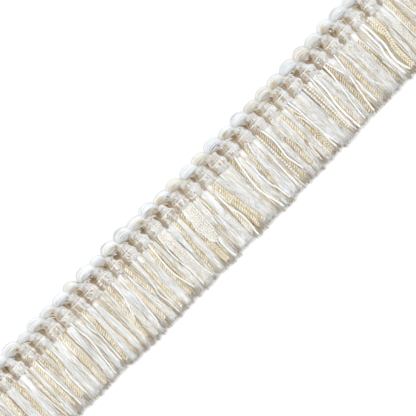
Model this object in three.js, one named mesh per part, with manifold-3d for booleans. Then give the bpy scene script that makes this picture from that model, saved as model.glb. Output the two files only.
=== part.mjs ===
// A cut length of brush fringe trim, lying flat on its back.
// +X runs along the trim, +Y points to the looped edge, +Z is the face. Millimetres.
// Weft bundles run across the trim. At the top edge each pair is joined by a turned loop,
// two woven rows hold the bundles, and below them the bundles hang free as a cut skirt.
import * as THREE from "three";
import { mergeVertices } from "three/addons/utils/BufferGeometryUtils.js";
import Module from "manifold-3d";

// ---- Driving sizes ----
const JOIN_Y = 7.2; // where the skirt leaves the heading, from the middle line
const PIECE_GAP = 0.3; // between heading and skirt
const SLIT = 0.5; // between two teeth of the skirt
const STEPS = 5; // stations along the heading for each bundle
const LOOP_SEAT = 14.7; // underside of the loops, from the middle line
const LOOP_CROWN = 4.7; // top of a full loop above the back
const LOOP_SHOULDER = 2.7; // top of the heading where two loops meet
const SKIRT_ROOT_BAR = 1.5; // depth across the trim of the bar that joins the teeth

const HEADING_COLOUR = "#e9e4dc";
const SKIRT_COLOUR = "#f1ece2";

// The gaps between the weft bundles, from one cut end to the other.
// root, mid, tip: x of the gap at the heading, half way down the skirt and at the cut edge.
// reach: y of the cut edge of the bundle to the right of the gap.
// wide, tall, up: the loop that bridges the gap, its width, its depth across the trim,
// and how far its underside sits above the loops' common line. The cut ends have none.
const GAPS = [
  { root: -115.4, mid: -115.2, tip: -115.3, reach: -18.3, wide: 0, tall: 0, up: 0 },
  { root: -108.7, mid: -108.6, tip: -108.9, reach: -18.7, wide: 6.6, tall: 4.0, up: 0.0 },
  { root: -102.0, mid: -102.3, tip: -102.6, reach: -18.2, wide: 5.8, tall: 3.6, up: 0.2 },
  { root: -95.3, mid: -95.3, tip: -95.6, reach: -18.5, wide: 6.6, tall: 4.1, up: -0.2 },
  { root: -88.7, mid: -88.9, tip: -89.8, reach: -18.0, wide: 7.0, tall: 4.3, up: -0.3 },
  { root: -82.0, mid: -82.5, tip: -83.1, reach: -18.3, wide: 5.5, tall: 2.9, up: 0.2 },
  { root: -75.9, mid: -75.7, tip: -76.0, reach: -18.2, wide: 6.8, tall: 4.3, up: -0.4 },
  { root: -69.4, mid: -70.1, tip: -71.0, reach: -18.3, wide: 6.1, tall: 3.2, up: 0.3 },
  { root: -62.8, mid: -61.4, tip: -61.9, reach: -19.0, wide: 7.0, tall: 3.8, up: -0.1 },
  { root: -56.5, mid: -56.4, tip: -56.8, reach: -18.9, wide: 4.9, tall: 4.1, up: 0.1 },
  { root: -49.6, mid: -50.0, tip: -51.3, reach: -19.5, wide: 7.9, tall: 4.3, up: -0.2 },
  { root: -43.0, mid: -43.3, tip: -44.0, reach: -19.3, wide: 5.2, tall: 3.1, up: 0.4 },
  { root: -36.6, mid: -35.8, tip: -35.6, reach: -18.9, wide: 6.8, tall: 4.2, up: 0.1 },
  { root: -29.8, mid: -30.4, tip: -31.3, reach: -19.1, wide: 6.8, tall: 5.0, up: 0.1 },
  { root: -22.9, mid: -22.6, tip: -22.4, reach: -19.3, wide: 7.6, tall: 3.8, up: 0.1 },
  { root: -16.4, mid: -15.8, tip: -15.9, reach: -18.9, wide: 6.6, tall: 4.2, up: 0.4 },
  { root: -9.4, mid: -9.8, tip: -10.5, reach: -19.5, wide: 7.0, tall: 3.4, up: 0.1 },
  { root: -3.0, mid: -3.4, tip: -4.0, reach: -18.8, wide: 6.5, tall: 3.7, up: 0.1 },
  { root: 3.9, mid: 4.6, tip: 4.6, reach: -19.5, wide: 7.2, tall: 4.1, up: -0.5 },
  { root: 10.4, mid: 11.6, tip: 12.0, reach: -18.8, wide: 6.6, tall: 3.8, up: -0.1 },
  { root: 17.6, mid: 17.2, tip: 17.4, reach: -19.7, wide: 7.2, tall: 4.2, up: 0.1 },
  { root: 24.4, mid: 25.0, tip: 24.3, reach: -18.8, wide: 6.0, tall: 3.7, up: -0.2 },
  { root: 31.0, mid: 31.0, tip: 31.2, reach: -19.1, wide: 6.6, tall: 4.2, up: -0.3 },
  { root: 37.8, mid: 37.6, tip: 37.8, reach: -19.0, wide: 6.4, tall: 3.1, up: 0.2 },
  { root: 44.4, mid: 44.6, tip: 44.8, reach: -18.8, wide: 6.2, tall: 4.0, up: -0.2 },
  { root: 51.2, mid: 50.7, tip: 51.7, reach: -19.3, wide: 6.7, tall: 4.1, up: -0.5 },
  { root: 58.0, mid: 58.6, tip: 58.3, reach: -18.7, wide: 7.2, tall: 4.1, up: -0.2 },
  { root: 64.8, mid: 64.9, tip: 64.2, reach: -18.5, wide: 6.0, tall: 4.3, up: -0.3 },
  { root: 71.2, mid: 71.0, tip: 70.5, reach: -18.7, wide: 7.0, tall: 4.1, up: -0.3 },
  { root: 78.0, mid: 77.4, tip: 76.9, reach: -18.5, wide: 6.3, tall: 3.8, up: 0.4 },
  { root: 84.8, mid: 85.5, tip: 85.4, reach: -18.8, wide: 7.1, tall: 3.9, up: 0.2 },
  { root: 91.4, mid: 90.3, tip: 90.0, reach: -18.5, wide: 6.3, tall: 3.6, up: 0.3 },
  { root: 98.2, mid: 98.4, tip: 98.7, reach: -18.7, wide: 6.9, tall: 4.0, up: 0.0 },
  { root: 105.0, mid: 105.1, tip: 105.2, reach: -18.4, wide: 6.0, tall: 3.6, up: 0.1 },
  { root: 111.7, mid: 111.6, tip: 111.9, reach: -18.6, wide: 6.6, tall: 3.9, up: 0.0 },
  { root: 118.4, mid: 118.2, tip: 118.3, reach: 0, wide: 0, tall: 0, up: 0 },
];

// How far the whole trim strays sideways from a straight line along its length.
const STRAY = [
  { x: -116, y: 0.7 },
  { x: -85, y: 0.75 },
  { x: -60, y: 0.8 },
  { x: -37, y: 0.7 },
  { x: -18, y: 0.25 },
  { x: 0, y: 0.0 },
  { x: 34, y: 0.0 },
  { x: 60, y: 0.3 },
  { x: 85, y: 0.8 },
  { x: 119, y: 1.2 },
];

// The woven rows from the skirt up to the loops, measured across the trim.
// crown, cleft: thickness at the middle of a bundle and in the gap beside it.
const ROWS = [
  { y: JOIN_Y + 0.15, crown: 2.2, cleft: 1.5 }, // edge beside the skirt
  { y: 7.9, crown: 2.3, cleft: 1.5 }, // lower binding threads
  { y: 8.5, crown: 3.2, cleft: 1.8 }, // full row, from here
  { y: 10.5, crown: 3.3, cleft: 1.8 }, // to here
  { y: 11.3, crown: 2.3, cleft: 1.4 }, // upper binding threads
  { y: 12.0, crown: 3.0, cleft: 1.4 }, // narrow row, from here
  { y: 13.3, crown: 2.9, cleft: 1.4 }, // to here
];

// The skirt's teeth, measured across the trim from the heading to the cut edge.
// at: share of the way down. top: thickness. flare: rounding of the top edge, as a share.
const TOOTH = [
  { at: 0.0, top: 2.1, flare: 0.62 },
  { at: 0.14, top: 3.0, flare: 0.66 },
  { at: 0.45, top: 3.5, flare: 0.72 },
  { at: 0.8, top: 3.2, flare: 0.76 },
  { at: 0.94, top: 2.6, flare: 0.76 },
  { at: 1.0, top: 0.8, flare: 0.8 },
];

// ---- Shared helpers ----
const wasm = await Module();
wasm.setup();

const FIRST = GAPS[0].root;
const LAST = GAPS[GAPS.length - 1].root;

function lerp(a, b, t) {
  return a + (b - a) * t;
}

// Smooth interpolation through the stray table.
function strayAt(x) {
  let i = 0;
  while (i < STRAY.length - 2 && x > STRAY[i + 1].x) i++;
  const t = Math.min(Math.max((x - STRAY[i].x) / (STRAY[i + 1].x - STRAY[i].x), 0), 1);
  return lerp(STRAY[i].y, STRAY[i + 1].y, t * t * (3 - 2 * t));
}

function geometryOf(positions, index) {
  const g = new THREE.BufferGeometry();
  g.setAttribute("position", new THREE.BufferAttribute(new Float32Array(positions), 3));
  g.setIndex(index);
  return g;
}

// A closed solid through a run of sections, each a ring of points in the same order.
function loft(sections) {
  const n = sections[0].length;
  const positions = sections.flat(2);
  const index = [];
  for (let s = 0; s < sections.length - 1; s++)
    for (let k = 0; k < n; k++) {
      const a = s * n + k,
        b = s * n + ((k + 1) % n),
        c = a + n,
        d = b + n;
      index.push(a, b, d, a, d, c);
    }
  for (const s of [0, sections.length - 1]) {
    const flat = flattened(sections[s]);
    const round = THREE.ShapeUtils.area(flat) > 0;
    for (const f of THREE.ShapeUtils.triangulateShape(flat, [])) {
      // Each cap face turns as its ring does at the far end, and the other way at the near end.
      const same = THREE.ShapeUtils.area(f.map((k) => flat[k])) > 0 === round;
      const face = f.map((k) => s * n + k);
      index.push(...(same === s > 0 ? face : face.reverse()));
    }
  }
  return geometryOf(positions, index);
}

// The two coordinates in which a flat ring of points spreads.
function flattened(ring) {
  const alongX = ring.every((p) => Math.abs(p[0] - ring[0][0]) < 1e-6);
  return ring.map((p) => (alongX ? new THREE.Vector2(p[1], p[2]) : new THREE.Vector2(p[0], p[2])));
}

function solidOf(geometry) {
  const g = geometry.clone();
  g.deleteAttribute("normal");
  g.deleteAttribute("uv");
  const m = mergeVertices(g, 1e-4);
  const s = new wasm.Manifold(
    new wasm.Mesh({
      numProp: 3,
      vertProperties: new Float32Array(m.attributes.position.array),
      triVerts: new Uint32Array(m.index.array),
    }),
  );
  if (s.volume() >= 0) return s;
  const flipped = new Uint32Array(m.index.array);
  for (let i = 0; i < flipped.length; i += 3) [flipped[i + 1], flipped[i + 2]] = [flipped[i + 2], flipped[i + 1]];
  return new wasm.Manifold(
    new wasm.Mesh({
      numProp: 3,
      vertProperties: new Float32Array(m.attributes.position.array),
      triVerts: flipped,
    }),
  );
}

function geometryFrom(solid) {
  const m = solid.getMesh();
  const positions = [];
  for (let i = 0; i < m.numVert; i++) positions.push(...m.vertProperties.slice(i * m.numProp, i * m.numProp + 3));
  const g = geometryOf(positions, Array.from(m.triVerts));
  g.computeVertexNormals();
  return g;
}

function part(name, solid, colour) {
  const mesh = new THREE.Mesh(
    geometryFrom(solid),
    new THREE.MeshStandardMaterial({ color: colour, roughness: 0.85, metalness: 0 }),
  );
  mesh.name = name;
  return mesh;
}

// ---- Heading ----
// The ring of points of the heading at one station: the flat back, the rows, and the loop.
// u is the place within a bundle: 0 and 1 are its gaps, 0.5 its middle.
function headingRing(x, u, loop) {
  const swell = Math.sin(Math.PI * u) ** 0.7; // rounded across the bundle
  const shift = strayAt(x);
  const up = loop.up;
  const full = loop.share; // 1 under the loop's middle, 0 where two loops meet
  const seat = LOOP_SEAT + up * full;
  const edge = lerp(LOOP_SEAT + 1.1, seat + loop.tall, full);
  const crown = lerp(LOOP_SHOULDER, LOOP_CROWN, full);
  const mid = (seat + edge) / 2;
  const ring = [[x, shift + ROWS[0].y, 0]];
  for (const row of ROWS) ring.push([x, shift + row.y, lerp(row.cleft, row.crown, swell)]);
  ring.push([x, shift + seat - 0.35, lerp(2.3, 1.7, full)]); // in the shade under the loop
  ring.push([x, shift + seat - 0.1, lerp(2.4, 3.3, full)]); // overhanging underside
  ring.push([x, shift + lerp(seat, mid, 0.75), crown]);
  ring.push([x, shift + lerp(mid, edge, 0.62), lerp(crown, crown - 0.8, full)]);
  ring.push([x, shift + edge, lerp(1.4, 2.4, full)]);
  ring.push([x, shift + edge - lerp(0.15, 0.6, full), lerp(0.5, 0.9, full)]);
  ring.push([x, shift + lerp(mid, edge, 0.35), 0]);
  return ring;
}

// The share of a loop's fullness at a distance from its middle.
function fullness(d, wide) {
  const r = Math.min(Math.abs(d) / (wide / 2), 1);
  return Math.sqrt(1 - r * r);
}

function headingSolid() {
  const sections = [];
  for (let i = 0; i < GAPS.length - 1; i++) {
    const from = GAPS[i],
      to = GAPS[i + 1];
    for (let k = i ? 1 : 0; k <= STEPS; k++) {
      const u = k / STEPS;
      const x = lerp(from.root, to.root, u);
      const left = from.wide ? fullness(x - from.root, from.wide) : 0;
      const right = to.wide ? fullness(to.root - x, to.wide) : 0;
      const own = left >= right ? from : to;
      sections.push(headingRing(x, u, { ...own, share: Math.max(left, right) }));
    }
  }
  return solidOf(loft(sections));
}

// ---- Skirt ----
// x of a gap at a share of the way down the skirt.
function gapAt(gap, share) {
  return share < 0.5 ? lerp(gap.root, gap.mid, share * 2) : lerp(gap.mid, gap.tip, share * 2 - 1);
}

function toothSolid(left, right) {
  const middle = (left.root + right.root) / 2;
  const top = JOIN_Y - PIECE_GAP / 2;
  const sections = TOOTH.map(({ at, top: thick, flare }) => {
    const y = lerp(top, left.reach, at);
    const a = gapAt(left, at) + SLIT / 2;
    const b = gapAt(right, at) - SLIT / 2;
    const m = (a + b) / 2,
      h = (b - a) / 2;
    const shift = strayAt(middle) * (1 - at);
    return [
      [m - h, y + shift, 0],
      [m + h, y + shift, 0],
      [m + h, y + shift, thick * 0.45],
      [m + h * flare, y + shift, thick * 0.9],
      [m, y + shift, thick],
      [m - h * flare, y + shift, thick * 0.9],
      [m - h, y + shift, thick * 0.45],
    ];
  });
  return solidOf(loft(sections));
}

// The bar under the first rows of filaments, from which every tooth hangs.
function rootBarSolid() {
  const sections = [];
  for (const { root, mid } of GAPS) {
    const end = root === FIRST ? SLIT / 2 : root === LAST ? -SLIT / 2 : 0;
    const y = JOIN_Y - PIECE_GAP / 2 + strayAt(root);
    sections.push([
      [root + end, y - SKIRT_ROOT_BAR, 0],
      [root + end, y - 0.02, 0],
      [root + end, y - 0.02, 1.5],
      [root + end, y - SKIRT_ROOT_BAR, 1.5],
    ]);
  }
  return solidOf(loft(sections));
}

function skirtSolid() {
  let comb = rootBarSolid();
  for (let i = 0; i < GAPS.length - 1; i++) comb = comb.add(toothSolid(GAPS[i], GAPS[i + 1]));
  return comb;
}

const trim = new THREE.Group();
trim.add(part("heading", headingSolid(), HEADING_COLOUR));
trim.add(part("skirt", skirtSolid(), SKIRT_COLOUR));

// The origin is on the back, under the middle of the whole cut length.
const middle = new THREE.Box3().setFromObject(trim).getCenter(new THREE.Vector3());
for (const piece of trim.children) piece.position.set(-middle.x, -middle.y, 0);

export default trim;
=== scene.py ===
"""A cut length of brush fringe trim, yarn by yarn, laid flat on a pale floor.

Sizes in the tables are millimetres. X runs along the trim, Y points to the looped edge,
Z is the height above the floor. Each table was charted.
"""

import math

import bpy
import numpy as np
from mathutils import Matrix, Vector


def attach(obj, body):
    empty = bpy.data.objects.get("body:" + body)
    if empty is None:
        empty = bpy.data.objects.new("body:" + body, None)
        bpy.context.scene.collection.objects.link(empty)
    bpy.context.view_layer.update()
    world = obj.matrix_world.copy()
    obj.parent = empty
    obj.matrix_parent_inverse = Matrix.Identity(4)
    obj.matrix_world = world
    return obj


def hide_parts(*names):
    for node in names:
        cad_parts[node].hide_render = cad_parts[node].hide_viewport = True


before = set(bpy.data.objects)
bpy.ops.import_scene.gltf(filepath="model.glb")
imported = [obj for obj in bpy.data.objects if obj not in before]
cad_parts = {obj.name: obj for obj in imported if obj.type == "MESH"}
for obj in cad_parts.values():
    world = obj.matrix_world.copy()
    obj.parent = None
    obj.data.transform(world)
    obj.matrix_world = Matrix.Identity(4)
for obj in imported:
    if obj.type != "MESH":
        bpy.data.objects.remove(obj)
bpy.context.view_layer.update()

rng = np.random.default_rng(5)
MM = 0.001

# ---- Sizes shared with the solids ----
MIDDLE = np.array([1.5, 0.3276])  # of the charted length, which the part's origin is under
JOIN = 7.2
FAR_LEFT, FAR_RIGHT = -115.4, 118.4
GAP_ROOT = [
    -115.4, -108.7, -102.0, -95.3, -88.7, -82.0, -75.9, -69.4, -62.8, -56.5, -49.6, -43.0,
    -36.6, -29.8, -22.9, -16.4, -9.4, -3.0, 3.9, 10.4, 17.6, 24.4, 31.0, 37.8, 44.4, 51.2,
    58.0, 64.8, 71.2, 78.0, 84.8, 91.4, 98.2, 105.0, 111.7, 118.4,
]  # fmt: skip
GAP_MID = [
    -115.2, -108.6, -102.3, -95.3, -88.9, -82.5, -75.7, -70.1, -61.4, -56.4, -50.0, -43.3,
    -35.8, -30.4, -22.6, -15.8, -9.8, -3.4, 4.6, 11.6, 17.2, 25.0, 31.0, 37.6, 44.6, 50.7,
    58.6, 64.9, 71.0, 77.4, 85.5, 90.3, 98.4, 105.1, 111.6, 118.2,
]  # fmt: skip
GAP_TIP = [
    -115.3, -108.9, -102.6, -95.6, -89.8, -83.1, -76.0, -71.0, -61.9, -56.8, -51.3, -44.0,
    -35.6, -31.3, -22.4, -15.9, -10.5, -4.0, 4.6, 12.0, 17.4, 24.3, 31.2, 37.8, 44.8, 51.7,
    58.3, 64.2, 70.5, 76.9, 85.4, 90.0, 98.7, 105.2, 111.9, 118.3,
]  # fmt: skip
REACH = [
    -18.3, -18.7, -18.2, -18.5, -18.0, -18.3, -18.2, -18.3, -19.0, -18.9, -19.5, -19.3,
    -18.9, -19.1, -19.3, -18.9, -19.5, -18.8, -19.5, -18.8, -19.7, -18.8, -19.1, -19.0,
    -18.8, -19.3, -18.7, -18.5, -18.7, -18.5, -18.8, -18.5, -18.7, -18.4, -18.6,
]  # fmt: skip
STRAY = [
    (-116, 0.7), (-85, 0.75), (-60, 0.8), (-37, 0.7), (-18, 0.25), (0, 0.0), (34, 0.0),
    (60, 0.3), (85, 0.8), (119, 1.2),
]  # fmt: skip

# The turned loops: middle, width, depth across the trim, rise of the underside, yarn mix.
# mix: w white, c cream with gold at the lower left that is partly painted shade, u gold on the underside that is
# partly painted shade, s gold stripes at the left, f fine gold lines
LOOPS = [
    (-108.7, 6.6, 4.0, 0.0, "w"),
    (-102.0, 5.8, 3.6, 0.2, "c"),
    (-95.1, 6.6, 4.1, -0.2, "w"),
    (-88.8, 7.2, 4.4, -0.3, "u"),
    (-82.2, 5.7, 2.9, 0.2, "w"),
    (-76.1, 7.0, 4.3, -0.4, "f"),
    (-69.5, 6.4, 3.2, 0.5, "u"),
    (-62.6, 7.2, 3.8, -0.1, "w"),
    (-57.0, 5.2, 4.1, 0.1, "f"),
    (-49.3, 8.1, 4.3, -0.1, "w"),
    (-43.3, 5.4, 3.1, 0.4, "w"),
    (-36.7, 7.0, 4.2, 0.1, "u"),
    (-29.6, 7.0, 4.7, 0.1, "w"),
    (-23.0, 7.8, 3.8, 0.1, "u"),
    (-16.9, 6.9, 4.2, 0.4, "f"),
    (-9.7, 7.3, 3.4, 0.1, "s"),
    (-3.3, 6.8, 3.7, 0.1, "c"),
    (4.1, 7.4, 4.1, -0.5, "w"),
    (10.2, 6.8, 3.8, -0.1, "c"),
    (17.5, 7.4, 4.2, 0.1, "w"),
    (24.2, 6.3, 3.7, -0.2, "s"),
    (30.8, 6.9, 4.2, -0.3, "w"),
    (37.7, 6.6, 3.1, 0.2, "c"),
    (44.2, 6.4, 4.0, -0.2, "f"),
    (50.6, 6.9, 4.1, -0.5, "s"),
    (57.6, 7.4, 4.1, -0.2, "w"),
    (64.6, 6.2, 4.3, -0.3, "c"),
    (71.0, 7.2, 4.1, -0.3, "f"),
    (77.9, 6.5, 3.8, 0.4, "s"),
    (84.5, 7.3, 3.9, 0.2, "w"),
    (91.2, 6.6, 3.6, 0.3, "w"),
    (98.2, 6.9, 4.0, 0.0, "c"),
    (105.0, 6.2, 3.6, 0.1, "w"),
    (111.7, 6.6, 3.9, 0.0, "u"),
]

# The dark hollow at each gap: its left and right edge from the gap in the neck row, and the same in
# the row below it. A gap that has none of its own here takes the first row.
HOLLOW = {
    0: (-0.7, 1.4, -0.2, 1.0),
    -95.3: (-1.3, 1.4, -0.4, 1.3), -88.7: (-1.4, 1.2, -0.4, 1.4), -82.0: (-0.5, 0.9, -0.4, 0.9),
    -75.9: (-0.7, 1.2, -0.2, 0.9), -69.4: (-0.4, 0.8, -0.1, 1.3), -62.8: (-0.5, 2.0, -0.1, 0.8),
    -56.5: (-0.3, 1.5, 0.1, 1.6), -49.6: (-0.7, 1.9, -0.3, 1.2), -43.0: (-0.5, 1.9, 0.2, 1.8),
    -36.6: (-1.4, 1.6, 0.2, 1.7), -29.8: (-0.3, 1.7, 0.0, 1.6), -22.9: (-1.2, 1.4, -0.4, 1.1),
    -16.4: (-0.4, 2.3, -0.1, 1.5), -9.4: (-0.9, 1.7, -0.3, 1.6), -3.0: (-0.4, 1.0, 0.0, 0.9),
    3.9: (-0.9, 1.6, -0.3, 0.9), 10.4: (-0.5, 0.9, 0.0, 1.2), 17.6: (-0.8, 1.1, -0.4, 1.5),
    24.4: (-0.6, 1.9, -0.5, 1.4), 31.0: (-0.7, 1.8, -0.3, 1.2), 37.8: (-0.5, 1.2, -0.1, 1.1),
    44.4: (-0.9, 1.2, -0.4, 0.6), 51.2: (-0.4, 1.1, -0.3, 0.7), 58.0: (-0.9, 1.4, -0.3, 1.1),
    64.8: (-1.2, 1.7, 0.0, 1.6), 71.2: (-0.9, 1.5, -0.1, 1.5), 78.0: (-0.5, 2.0, 0.0, 1.8),
    84.8: (-0.9, 0.8, -0.2, 0.9), 91.4: (-0.5, 1.2, 0.0, 1.8),
}  # fmt: skip
# Bundles with a run of gold yarn down them: its place from -1 (left edge) to 1, and its depth.
GOLD_IN_COLUMN = {21: (-0.42, 0.6), 11: (0.75, 0.5)}
# Down the heading: y, share of the lower row's hollow, how wide the hollow opens, its shift to the
# right, the height of a bundle's crown and of its foot. The bindings pinch it at 10.5 and 7.1.
BARREL = [
    (15.3, 0.0, 1.7, 0.6, 2.5, 1.5),
    (14.3, 0.0, 1.5, 0.45, 2.75, 1.5),
    (13.6, 0.0, 1.3, 0.3, 2.95, 1.5),
    (12.6, 0.0, 1.1, 0.15, 3.1, 1.5),
    (11.6, 0.0, 0.95, 0.1, 3.05, 1.5),
    (10.95, 0.1, 0.7, 0.05, 2.85, 1.5),
    (10.5, 0.5, 0.45, 0.0, 2.75, 1.55),
    (10.1, 1.0, 0.36, 0.0, 2.9, 1.6),
    (9.4, 1.0, 0.38, 0.0, 3.2, 1.75),
    (8.6, 1.0, 0.52, 0.0, 3.2, 1.75),
    (7.9, 1.0, 0.9, 0.0, 2.95, 1.6),
    (7.4, 1.0, 0.75, 0.0, 2.5, 1.5),
    (7.05, 1.0, 0.35, 0.0, 2.35, 1.45),
    (6.7, 1.0, 0.3, 0.0, 2.55, 1.5),
    (6.1, 1.0, 0.4, 0.0, 2.1, 1.4),
]

# The skirt's upper surface down the trim: y, height.
SURFACE = [(8.0, 1.75), (7.2, 2.1), (5.5, 2.75), (2.0, 3.2), (-4.0, 3.35), (-10.0, 3.25), (-15.0, 3.05), (-19.5, 2.5)]

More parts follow.
